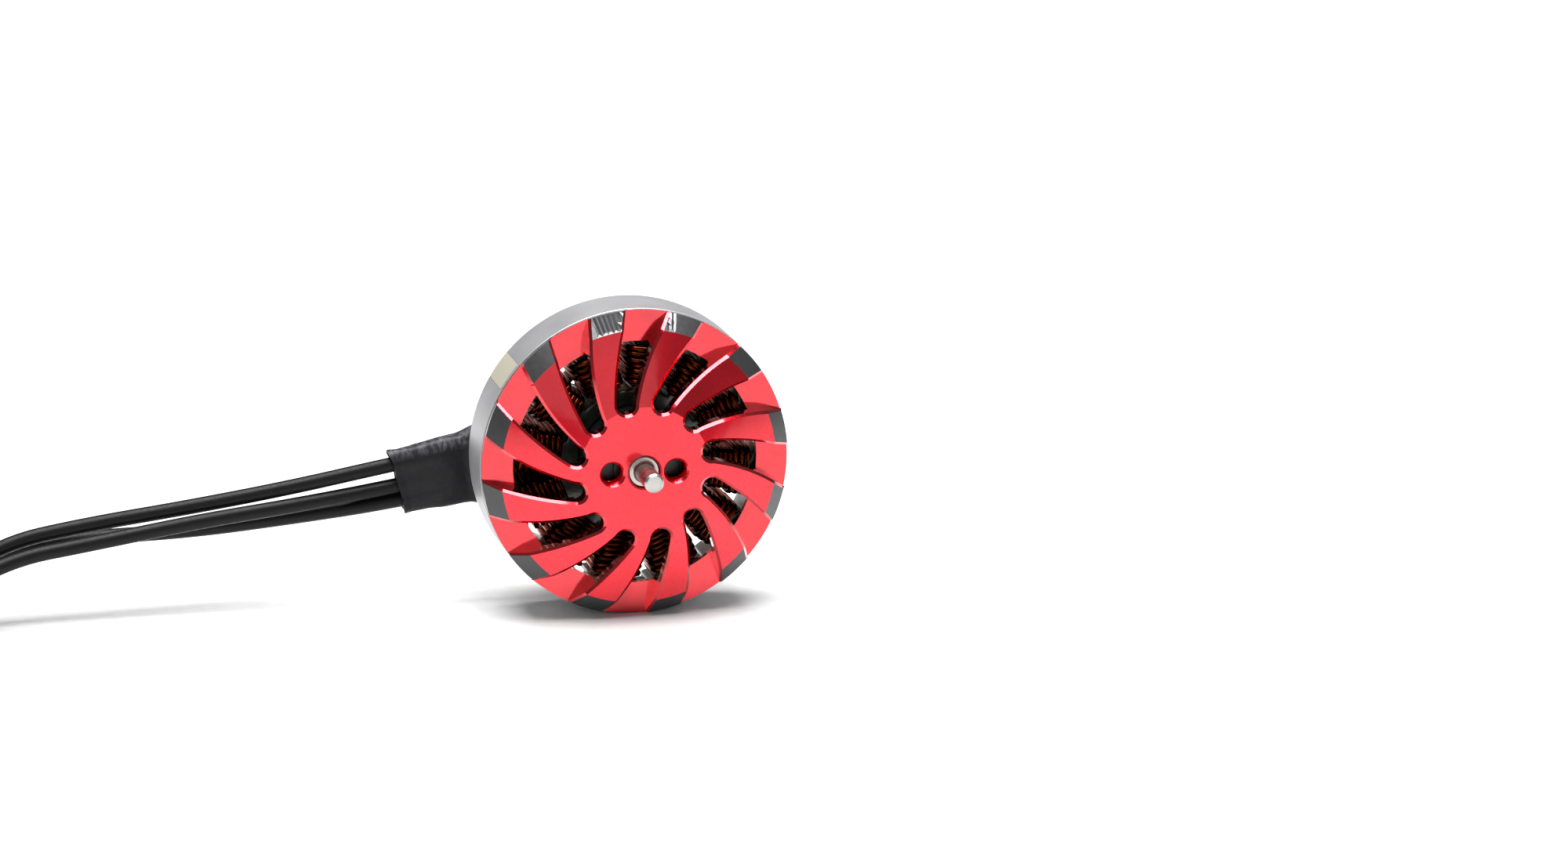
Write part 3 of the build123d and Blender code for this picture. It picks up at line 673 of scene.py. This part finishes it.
def slot_at(point, outlines):
    """The number of the slot that a point lies in, or None."""
    degrees = math.degrees(math.atan2(point.y, point.x))
    middle = round((degrees - FIRST_SLOT) / SLOT_PITCH)
    for k in (middle - 1, middle, middle + 1):
        if inside(point, outlines[k % SLOTS]):
            return k % SLOTS
    return None


def nearest(point, loop):
    """The nearest point of an open outline."""
    best = None
    for a, b in zip(loop, loop[1:]):
        side = b - a
        share = min(1, max(0, (point - a).dot(side) / side.length_squared))
        spot = a + side * share
        if best is None or (spot - point).length < (best - point).length:
            best = spot
    return best


def sheet(mesh, loops, points, keep, height, material=lambda middle: 0):
    """Triangulates the plane across the shaft, keeps some triangles and lifts their corners."""
    corners, edges = [], []
    for loop in loops:
        first = len(corners)
        corners += loop
        edges += [(first + i, first + (i + 1) % len(loop)) for i in range(len(loop))]
    flat, _, triangles, *_ = delaunay_2d_cdt(corners + points, edges, [], 0, 1e-6)
    made = {}
    for triangle in triangles:
        middle = sum((flat[i] for i in triangle), Vector((0, 0))) / 3
        if not keep(middle):
            continue
        for i in triangle:
            if i not in made:
                made[i] = mesh.verts.new(Vector((flat[i].x, -height(flat[i]), flat[i].y)) * MM)
        face = mesh.faces.new([made[i] for i in triangle])
        face.material_index = material(middle)
    return list(made.values())


def flat_mm(vertex):
    return Vector((vertex.co.x, vertex.co.z)) / MM


def groove_share(point):
    """1 at the bottom of a balance groove, 0 off the grooves."""
    degrees = math.degrees(math.atan2(point.y, point.x))
    share = max(0.0, max(1 - abs(degrees - g) / (GROOVE_PITCH / 2) for g in GROOVES))
    return share * smooth((point.length - SHOULDER_R) / (GROOVE_START_R - SHOULDER_R))


def cap_top_height(point):
    return along(TOP, point.length) - GROOVE_DEPTH * groove_share(point)


def hole(mesh, centre, radius, foot, threaded=False):
    """A hole's mouth chamfer and wall, with a cut thread where it is threaded."""
    spots = [(radius + MOUTH, CAP_TOP), (radius, CAP_TOP - MOUTH)]
    rows = [[(r, h) for _ in range(HOLE_STEPS)] for r, h in spots]
    count = round((CAP_TOP - MOUTH - foot) / THREAD_PITCH * ROWS_PER_THREAD)
    for k in range(1, count + 1):
        height = CAP_TOP - MOUTH - (CAP_TOP - MOUTH - foot) * k / count
        row = []
        for i in range(HOLE_STEPS):
            phase = (height / THREAD_PITCH + i / HOLE_STEPS) % 1
            cut = THREAD_DEPTH * (abs(2 * phase - 1) * 2 - 1) if threaded else 0
            row.append((radius + cut, height))
        rows.append(row)
    placed = []
    for row in rows:
        ring = [centre + disc(r, 360 * i / HOLE_STEPS) for i, (r, _) in enumerate(row)]
        placed.append([Vector((p.x, -h, p.y)) for p, (_, h) in zip(ring, row)])
    add_grid(mesh, placed, closed=True)


def build_cap():
    mesh = bmesh.new()
    turns = [SLOT_PITCH * k for k in range(SLOTS)]
    outlines = [slot_outline(turn) for turn in turns]
    grown = [slot_outline(turn, EDGE_CHAMFER) for turn in turns]
    screws = [Vector((-PROP_HOLE_X, 0)), Vector((PROP_HOLE_X, 0))]
    groove_edges = [g + side * GROOVE_PITCH / 2 for g in GROOVES for side in (-1, 0, 1)]
    even_steps = [CIRCLE_STEP * k for k in range(round(360 / CIRCLE_STEP))]
    rim_degrees = sorted({round(a, 3) for a in even_steps + groove_edges})
    rim = [disc(CAP_R, a) for a in rim_degrees]

    def on_vane(point):
        if point.length > CAP_R or point.length < BORE_R + MOUTH:
            return False
        if any((point - screw).length < PROP_HOLE_R + MOUTH for screw in screws):
            return False
        return slot_at(point, grown) is None

    def tip_finish(point):
        if point.length < SHOULDER_R:
            return 0
        return GROOVED if groove_share(point) > GROOVE_SEEN else TIPS

    mouths = [circle(PROP_HOLE_R + MOUTH, 10, screw) for screw in screws] + [circle(BORE_R + MOUTH, 10)]
    middles = [p for r in TOP_CIRCLES for p in circle(r)]
    middles += [disc(r, a) for a in groove_edges for r in GROOVE_CIRCLES]
    loops = [rim, circle(SEAT_R), circle(SHOULDER_R)] + mouths + grown
    sheet(mesh, loops, middles, on_vane, cap_top_height, tip_finish)

    # Chamfers along the slots' edges, and the walls below them.
    edges = [
        e
        for e in mesh.edges
        if e.is_boundary
        and min(flat_mm(v).length for v in e.verts) > SLOTS_START_R
        and not all(flat_mm(v).length > CAP_R - ON_RIM for v in e.verts)
    ]
    lowered, bottoms = {}, {}

    def chamfer_foot(vertex):
        if vertex not in lowered:
            point = flat_mm(vertex)
            middle = round((math.degrees(math.atan2(point.y, point.x)) - FIRST_SLOT) / SLOT_PITCH)
            near = [nearest(point, outlines[k % SLOTS]) for k in (middle - 1, middle, middle + 1)]
            spot = min(near, key=lambda p: (p - point).length)
            if point.length > CAP_R - ON_RIM:
                spot = spot.normalized() * CAP_R
            height = max(along(TOP, spot.length) - EDGE_CHAMFER, CAP_FLOOR + 0.01)
            lowered[vertex] = mesh.verts.new(Vector((spot.x, -height, spot.y)) * MM)
        return lowered[vertex]

    def wall_foot(vertex, outer):
        key = (vertex, outer)
        if key not in bottoms:
            spot = flat_mm(vertex)
            height = CAP_FLOOR if outer else along(UNDERSIDE, min(spot.length, SLOT_OPEN_R))
            bottoms[key] = mesh.verts.new(Vector((spot.x, -height, spot.y)) * MM)
        return bottoms[key]

    for edge in edges:
        a, b = edge.verts
        c, d = chamfer_foot(a), chamfer_foot(b)
        mesh.faces.new((a, b, d, c)).material_index = MILLED
        outer = (flat_mm(c).length + flat_mm(d).length) / 2 > SLOT_OPEN_R
        mesh.faces.new((c, d, wall_foot(d, outer), wall_foot(c, outer))).material_index = MILLED

    # The low land between the vanes, the underside and the ring that joins the vanes.
    def in_slot(point):
        return SLOT_OPEN_R < point.length < CAP_R and slot_at(point, outlines) is not None

    def under_vane(point):
        if any((point - screw).length < PROP_HOLE_R for screw in screws):
            return False
        return BORE_R < point.length < SLOT_OPEN_R and slot_at(point, outlines) is None

    opening = circle(SLOT_OPEN_R)
    land = circle(LAND_CIRCLE_R)
    sheet(mesh, [rim, opening] + outlines, land, in_slot, lambda p: CAP_FLOOR, lambda p: MILLED)
    under_loops = [opening, *(circle(UNDERSIDE[k][0]) for k in (3, 1, 2, 4)), circle(BORE_R)] + outlines
    under_loops += [circle(PROP_HOLE_R, 10, screw) for screw in screws]
    middles = [p for r in UNDERSIDE_CIRCLES for p in circle(r)]
    sheet(mesh, under_loops, middles, under_vane, lambda p: along(UNDERSIDE, p.length))
    bmesh.ops.remove_doubles(mesh, verts=mesh.verts, dist=EDGE_MERGE * MM)
    lip = SEAM + SEAM_GROOVE
    for radius, foot, finish in ((CAP_R, lip, TURNED_EDGE), (SLOT_OPEN_R, SPIGOT_FOOT, MILLED)):
        rims = []
        for edge in mesh.edges:
            one, two = (flat_mm(v) for v in edge.verts)
            around = all(abs(p.length - radius) < 2 * ON_RIM for p in (one, two))
            if edge.is_boundary and around and (one - two).length > SHORTEST_EDGE:
                rims.append(edge)
        for edge in rims:
            a, b = edge.verts
            feet = [mesh.verts.new(Vector((v.co.x, -foot * MM, v.co.z))) for v in (b, a)]
            mesh.faces.new((a, b, *feet)).material_index = finish
    inner_r = CAP_R - SEAM_GROOVE
    spigot = ((CAP_R, lip), (inner_r, lip), (inner_r, SEAM), (SPIGOT_R, SEAM), (SPIGOT_R, SPIGOT_FOOT))
    spigot += ((SLOT_OPEN_R, SPIGOT_FOOT),)
    add_grid(mesh, [[at(r, a, h) for a in rim_degrees] for r, h in spigot], closed=True)
    hole(mesh, Vector((0, 0)), BORE_R, UNDERSIDE[0][1])
    for screw in screws:
        hole(mesh, screw, PROP_HOLE_R, UNDERSIDE[2][1], threaded=True)
    return finished(mesh, "bell_cap_mesh", 14, 0.004 * MM)


new_object(
    "bell_cap_machined",
    build_cap(),
    "bell",
    [MATERIALS["red_anodised"], tip_grey(), bare_aluminium(), red_milled(), turned_edge()],
    ["bell_cap"],
)

# ---- stator -----------------------------------------------------------------------------
TEETH = 12
TOOTH_START = 21.0
STACK_FOOT, STACK_TOP = -STACK_HIGH.y, -STACK_LOW.y
STATOR_R = 10.0
STATOR_BORE_R = 4.32
YOKE_R = 5.55
TOOTH_HALF_W = 0.85
TIP_INNER_R, TIP_EDGE_R = 9.3, 9.7
TIP_HALF_DEG, TIP_ROOT_HALF_DEG = 11.3, 5.2
PAINT_ROUNDING = 0.16


def build_stator():
    """The painted lamination stack, as a filled outline with rounded edges."""
    outline = []
    for k in range(TEETH):
        centre = TOOTH_START + 360 / TEETH * k
        root = math.degrees(math.asin(TOOTH_HALF_W / YOKE_R))
        half = [(YOKE_R, 12.75), (YOKE_R, root + 0.6)]
        half += [(YOKE_R + 0.25, math.degrees(math.asin(TOOTH_HALF_W / (YOKE_R + 0.25))))]
        half += [(TIP_INNER_R, TIP_ROOT_HALF_DEG), (TIP_EDGE_R, TIP_HALF_DEG)]
        half += [(STATOR_R, TIP_HALF_DEG - 0.6), (STATOR_R, TIP_HALF_DEG / 2), (STATOR_R, 0)]
        outline += [disc(r, centre - a) for r, a in half]
        outline += [disc(r, centre + a) for r, a in half[:-1][::-1]]
    curve = bpy.data.curves.new("stator_outline", "CURVE")
    curve.dimensions = "2D"
    curve.fill_mode = "BOTH"
    curve.extrude = ((STACK_TOP - STACK_FOOT) / 2 - PAINT_ROUNDING) * MM
    curve.bevel_depth = PAINT_ROUNDING * MM
    curve.offset = -PAINT_ROUNDING * MM
    curve.bevel_resolution = 3
    for loop in (outline, circle(STATOR_BORE_R, 7.5)):
        spline = curve.splines.new("POLY")
        spline.points.add(len(loop) - 1)
        for target, point in zip(spline.points, loop):
            target.co = (point.x * MM, point.y * MM, 0, 1)
        spline.use_cyclic_u = True
    drawn = bpy.data.objects.new("stator_drawn", curve)
    bpy.context.scene.collection.objects.link(drawn)
    graph = bpy.context.evaluated_depsgraph_get()
    data = bpy.data.meshes.new_from_object(drawn.evaluated_get(graph))
    bpy.data.objects.remove(drawn)
    middle = -(STACK_FOOT + STACK_TOP) / 2 * MM
    data.transform(Matrix.Translation((0, middle, 0)) @ Matrix.Rotation(math.pi / 2, 4, "X"))
    data.shade_smooth()
    data.set_sharp_from_angle(angle=math.radians(40))
    return data


new_object(
    "stator_stack_painted",
    build_stator(),
    "stator",
    [MATERIALS["stator_green"]],
    ["stator_core"],
)

# Each layer of a coil: its first and last turn's radius, the number of turns, half its width
# and how far its arched ends stand above the stack.
COIL_LAYERS = (
    (5.98, 8.92, 8, 1.09, 0.4),
    (6.25, 8.78, 7, 1.44, 0.71),
    (7.9, 8.9, 3, 1.8, 0.72),
)
TURN_R = 0.205
TURN_LEAN, TURN_WOBBLE = 0.05, 0.018
PHASE_TEETH = {"a": (0, 1, 6, 7), "b": (2, 3, 8, 9), "c": (4, 5, 10, 11)}
WINDING_SEED = 7
draw = random.Random(WINDING_SEED)


def turn_points(radius, degrees, half_w, build):
    """One closed turn of wire round a tooth, with arched ends above and below the stack."""
    middle = (STACK_FOOT + STACK_TOP) / 2
    straight = (STACK_TOP - STACK_FOOT) / 2
    quarter = [
        (1.0, straight * 0.45),
        (1.0, straight + 0.1),
        (0.86, straight + 0.8 * build),
        (0.34, straight + 1.06 * build),
    ]
    half = quarter + [(-side, up) for side, up in reversed(quarter)]
    loop = half + [(-side, -up) for side, up in half]
    lean = draw.uniform(-TURN_LEAN, TURN_LEAN)
    points = []
    for side, up in loop:
        wobble = draw.uniform(-TURN_WOBBLE, TURN_WOBBLE)
        place = at(radius + lean * side + wobble, degrees, middle + up)
        points.append(place + at(side * half_w, degrees + 90, 0))
    return points


for phase, teeth in PHASE_TEETH.items():
    curve = wire_curve(f"winding_{phase}_line", TURN_R, 3)
    curve.bevel_resolution = 1
    for tooth in teeth:
        degrees = TOOTH_START + 360 / TEETH * tooth
        for first, last, count, half_w, build in COIL_LAYERS:
            for k in range(count):
                radius = first + (last - first) * k / (count - 1)
                spline = curve.splines.new("NURBS")
                turn = turn_points(radius, degrees, half_w, build)
                spline.points.add(len(turn) - 1)
                for target, point in zip(spline.points, turn):
                    target.co = (*(point * MM), 1)
                spline.order_u = 4
                spline.use_cyclic_u = True
    new_object(
        f"winding_phase_{phase}_turns",
        curve,
        "stator",
        [MATERIALS["copper_enamel"]],
        [f"winding_phase_{phase}"],
    )

# ---- heat-shrink sleeve -----------------------------------------------------------------
# As (distance from the shaft axis, width, thickness, height of its middle).
SLEEVE_SECTIONS = (
    (5.5, 5.4, 3.05, 1.62),
    (6.4, 7.2, 3.05, 1.62),
    (10.3, 6.5, 2.9, 1.55),
    (12.2, 5.6, 2.2, 1.36),
    (SLEEVE_END, 5.1, 1.75, WIRE_HEIGHT),
)
SLEEVE_WALL = 0.2
SLEEVE_ROWS = 90
SLEEVE_AROUND = 96
SLEEVE_SQUARENESS = (0.5, 0.6)  # across and through; 1 would be an ellipse
SHRUNK_FROM, SHRUNK_OVER = 11.5, 5.5  # where it closes onto the wires
LIP_LENGTH = 0.7
MOUTH_TURN_IN = 2.4  # how far the wall is drawn inside the mouth
MOUTH_ROWS = 6
MOUTH_SLANT = 0.09  # the mouth is cut a little askew
FOLD_DEPTH, WRINKLE_DEPTH, RAGGED_EDGE = 0.07, 0.014, 0.22
MOUTH_FLARE = 0.09
RIDGE_SHARE, RIDGE_HALF_W = 0.14, 0.55  # the ridge over each wire
WIRE_PLACES = [sideways for sideways, *_ in WIRE_ROUTES.values()]


def sleeve_section(distance):
    for low, high in zip(SLEEVE_SECTIONS, SLEEVE_SECTIONS[1:]):
        if distance <= high[0]:
            share = smooth((distance - low[0]) / (high[0] - low[0]))
            return [a + (b - a) * share for a, b in zip(low[1:], high[1:])]
    return SLEEVE_SECTIONS[-1][1:]


def sleeve_ring(distance, inset):
    """One ring of the flattened sleeve, shrunk onto the wires near its mouth."""
    width, thick, height = sleeve_section(distance)
    near_mouth = smooth((distance - SHRUNK_FROM) / SHRUNK_OVER)
    lip = smooth((distance - SLEEVE_END + LIP_LENGTH) / LIP_LENGTH)
    ring = []
    for k in range(SLEEVE_AROUND):
        turn = 2 * math.pi * k / SLEEVE_AROUND
        c, s = math.cos(turn), math.sin(turn)
        across = math.copysign(abs(c) ** SLEEVE_SQUARENESS[0], c)
        deep = math.copysign(abs(s) ** SLEEVE_SQUARENESS[1], s)
        seat = (distance * 0.55, across * 1.5, deep * 1.2)
        fold = FOLD_DEPTH * noise.noise(Vector(seat) * 1.2 + Vector((3, 1, 7)))
        fold += WRINKLE_DEPTH * noise.noise(Vector((distance * 1.1, across * 3, deep * 4)) * 1.9)
        off_wire = min(abs(across * width / 2 - w) for w in WIRE_PLACES) / RIDGE_HALF_W
        ridge = 1 + RIDGE_SHARE * near_mouth * (math.exp(-(off_wire**2)) - 0.7)
        flare = MOUTH_FLARE * lip
        side = across * (width / 2 - inset + fold + flare)
        rise = deep * (thick / 2 - inset + fold + flare) * ridge
        ragged = RAGGED_EDGE * lip * noise.noise(Vector((across * 1.8, deep * 1.8, 9)))
        askew = MOUTH_SLANT * near_mouth * side
        ring.append(outward(distance + ragged + askew, side, height + rise))
    return ring


def build_sleeve():
    mesh = bmesh.new()
    first = SLEEVE_SECTIONS[0][0]
    rows = [
        sleeve_ring(first + (SLEEVE_END - first) * k / SLEEVE_ROWS, 0) for k in range(SLEEVE_ROWS + 1)
    ]
    rows.append(sleeve_ring(SLEEVE_END + 0.03, SLEEVE_WALL / 2))
    inward = [MOUTH_TURN_IN * k / MOUTH_ROWS for k in range(MOUTH_ROWS + 1)]
    rows += [sleeve_ring(SLEEVE_END - depth, SLEEVE_WALL) for depth in inward]
    add_grid(mesh, rows, closed=True)
    return finished(mesh, "heat_shrink_mesh", 70)


new_object(
    "heat_shrink_crinkled",
    build_sleeve(),
    "stator",
    [MATERIALS["heat_shrink"]],
    ["heat_shrink_sleeve"],
)

# ---- balance putty ----------------------------------------------------------------------
PUTTY_ANGLES = (105.0, 212.0)
PUTTY_HALF_DEG = 9.2
PUTTY_MIDDLE_R, PUTTY_HALF_W = 10.78, 0.5
PUTTY_SEAT = 5.17
PUTTY_RISE = 0.34
PUTTY_OUTER_R = 11.17
PUTTY_RAGGED, PUTTY_LUMP = 0.28, 0.07
PUTTY_ROWS, PUTTY_AROUND = 16, 56


def build_putty():
    """Two irregular dabs pressed onto the magnets' ends."""
    mesh = bmesh.new()
    for angle in PUTTY_ANGLES:
        rows = []
        for j in range(PUTTY_ROWS + 1):
            share = math.sin(math.pi / 2 * j / PUTTY_ROWS)
            row = []
            for i in range(PUTTY_AROUND):
                turn = 2 * math.pi * i / PUTTY_AROUND
                seat = Vector((math.cos(turn), math.sin(turn), angle))
                ragged = share * (1 + PUTTY_RAGGED * noise.noise(seat * 2.1))
                degrees = angle + PUTTY_HALF_DEG * ragged * math.cos(turn)
                radius = PUTTY_MIDDLE_R + PUTTY_HALF_W * ragged * math.sin(turn)
                radius = min(radius, PUTTY_OUTER_R)
                lump = PUTTY_LUMP * noise.noise(Vector((degrees * 0.25, radius * 2, angle)))
                dome = math.sqrt(max(0.0, 1 - share * share))
                row.append(at(radius, degrees, PUTTY_SEAT - (PUTTY_RISE + lump) * dome))
            rows.append(row)
        foot = [at(PUTTY_MIDDLE_R, angle, PUTTY_SEAT)] * PUTTY_AROUND
        add_grid(mesh, rows + [foot], closed=True)
    return finished(mesh, "balance_putty_mesh", 60)


new_object(
    "balance_putty_dabs",
    build_putty(),
    "bell",
    [MATERIALS["balance_putty"]],
    ["balance_putty"],
)

# ---- plain pale patch on the flux ring --------------------------------------------------
PATCH_ANGLE, PATCH_HALF_DEG = 143.5, 5.4
PATCH_FOOT, PATCH_TOP = 5.25, 9.6
PATCH_T = 0.02
PATCH_STEPS = 24


def build_patch():
    mesh = bmesh.new()
    outline = ((PATCH_FOOT, 0), (PATCH_FOOT, PATCH_T), (PATCH_TOP, PATCH_T), (PATCH_TOP, 0))
    degrees = [PATCH_ANGLE + PATCH_HALF_DEG * (2 * k / PATCH_STEPS - 1) for k in range(PATCH_STEPS + 1)]
    add_grid(mesh, [[at(BELL_R + up, a, h) for a in degrees] for h, up in outline])
    return finished(mesh, "pale_patch_mesh", 30)


new_object(
    "blank_pale_patch",
    build_patch(),
    "bell",
    [plain("patch_cream", (0.42, 0.39, 0.31), 0.4, 0.2, 9.0, 0.004)],
)

# ---- tie round the coil -----------------------------------------------------------------
TIE_W, TIE_T = 1.6, 0.35
TIE_LOW, TIE_HIGH = node_mm("wire_tie")
TIE_HALF = (TIE_HIGH.x - TIE_LOW.x) / 2 - TIE_T
TIE_TOP = TIE_HIGH.z - TIE_T
TIE_CORNER = 0.8
TIE_CORNER_STEPS = 6
TIE_RIBS = 9
RIB_STEPS = 4
RIB_GAP_T = 0.75  # the strap's thickness between its ribs, as a share
HEAD_SIZE = (2.3, 2.5, 1.15)
HEAD_CORNER = 0.4
BLOCK_SQUARENESS = 0.35
BLOCK_AROUND = 32
TAIL_LENGTH, TAIL_LEAN = 2.6, 0.45
TAIL_TAPER = (0.9, 0.9, 0.9, 0.85, 0.6)


def tie_point(x, y, z):
    """A point from the middle of the coil's section under the tie."""
    return Vector((COIL_X - COIL_MEAN_R + x, COIL_Y + y, z))


def add_block(mesh, place, size, corner):
    """A moulded block with rounded corners and edges."""
    levels = [(0.0, 1.0), (0.0, 0.5), (0.12, 0.12), (0.5, 0.0)]
    levels += [(1 - up, inset) for up, inset in reversed(levels)]
    rows = []
    for up, inset in levels:
        row = []
        for k in range(BLOCK_AROUND):
            turn = 2 * math.pi * k / BLOCK_AROUND
            c, s = math.cos(turn), math.sin(turn)
            side = math.copysign(abs(c) ** BLOCK_SQUARENESS, c) * (size[0] / 2 - corner * inset)
            deep = math.copysign(abs(s) ** BLOCK_SQUARENESS, s) * (size[1] / 2 - corner * inset)
            row.append(place + Vector((side, deep, size[2] * up)))
        rows.append(row)
    middles = [[place + Vector((0, 0, up))] * BLOCK_AROUND for up in (0, size[2])]
    rows = [middles[0], *rows, middles[1]]
    add_grid(mesh, rows, closed=True)


def build_tie():
    """A ribbed strap over the coil, down to the floor on both sides, its head and its tail."""
    mesh = bmesh.new()
    bend = [math.pi / 2 * k / TIE_CORNER_STEPS for k in range(TIE_CORNER_STEPS + 1)]
    path = [(-TIE_HALF, FLOOR)]
    path += [
        (-TIE_HALF + TIE_CORNER * (1 - math.cos(a)), TIE_TOP - TIE_CORNER * (1 - math.sin(a)))
        for a in bend
    ]
    flat = TIE_HALF - TIE_CORNER
    side_points = len(path)
    across = RIB_STEPS * TIE_RIBS
    path += [(flat * (2 * k / across - 1), TIE_TOP) for k in range(1, across)]
    path += [(-x, z) for x, z in reversed(path[:side_points])]
    rows = []
    for side, lift in ((-1, 0), (-1, 0.8), (-0.7, 1), (0.7, 1), (1, 0.8), (1, 0), (-1, 0)):
        row = []
        for i, (x, z) in enumerate(path):
            on_top = abs(side) == 0.7 and side_points <= i < len(path) - side_points
            rib = RIB_GAP_T if on_top and i % RIB_STEPS < RIB_STEPS / 2 else 1.0
            grow = 1 + lift * rib * TIE_T / TIE_HALF
            up = z + lift * rib * TIE_T * smooth((z - FLOOR) / 1.5)
            row.append(tie_point(x * grow, side * TIE_W / 2, up))
        rows.append(row)
    add_grid(mesh, rows)
    add_block(mesh, tie_point(0, 0, TIE_TOP + 0.05), HEAD_SIZE, HEAD_CORNER)
    tail = tie_point(0.1, 0, TIE_TOP + HEAD_SIZE[2] * 0.6)
    lean = Vector((math.sin(TAIL_LEAN), 0, math.cos(TAIL_LEAN)))
    thick = Vector((lean.z, 0, -lean.x)) * TIE_T / 2

    def tail_row(k, face):
        foot = tail + lean * TAIL_LENGTH * k / (len(TAIL_TAPER) - 1) + face
        return [foot + Vector((0, w * TIE_W * TAIL_TAPER[k] / 2, 0)) for w in (-1, 0, 1)]

    walls = []
    for face in (thick, -thick):
        rows = [tail_row(k, face) for k in range(len(TAIL_TAPER))]
        add_grid(mesh, rows)
        walls.append([row[0] for row in rows] + [row[2] for row in reversed(rows)])
    add_grid(mesh, walls, closed=True)
    return finished(mesh, "wire_tie_mesh", 35, 0.004 * MM)


new_object("wire_tie_strap", build_tie(), "stator", [MATERIALS["tie_plastic"]], ["wire_tie"])

# ---- stage ------------------------------------------------------------------------------
def area_light(name, place, target, width, height, power):
    """A softbox that faces a target point; places are in metres."""
    data = bpy.data.lights.new(name, "AREA")
    data.shape = "RECTANGLE"
    data.size, data.size_y = width, height
    data.energy = power
    light = bpy.data.objects.new(name, data)
    light.location = place
    light.rotation_euler = (Vector(target) - Vector(place)).to_track_quat("-Z", "Y").to_euler()
    bpy.context.scene.collection.objects.link(light)


area_light("overhead_softbox", (-0.02, 0.0, 0.7), (-0.02, 0.02, 0), 0.6, 0.6, 13.5)
area_light("front_softbox", (-0.1, -1.0, 0.4), (0, 0, 0.02), 0.9, 0.5, 1.1)

world = bpy.data.worlds.new("studio")
world.use_nodes = True
world.node_tree.nodes["Background"].inputs["Color"].default_value = (1, 1, 1, 1)
world.node_tree.nodes["Background"].inputs["Strength"].default_value = 0.2
bpy.context.scene.world = world
bpy.context.scene.view_settings.view_transform = "Standard"

FLOOR_SIDE = 3.0
floor_mesh = bmesh.new()
bmesh.ops.create_grid(floor_mesh, x_segments=1, y_segments=1, size=FLOOR_SIDE)
floor_data = bpy.data.meshes.new("table_top")
floor_mesh.to_mesh(floor_data)
floor_mesh.free()
table_top = bpy.data.objects.new("table_top", floor_data)
table_top.location.z = FLOOR * MM
bpy.context.scene.collection.objects.link(table_top)
floor_data.materials.append(plain("table_white", (0.84, 0.84, 0.84), 0.45, grain_per_mm=1.0, grain_mm=0.01))
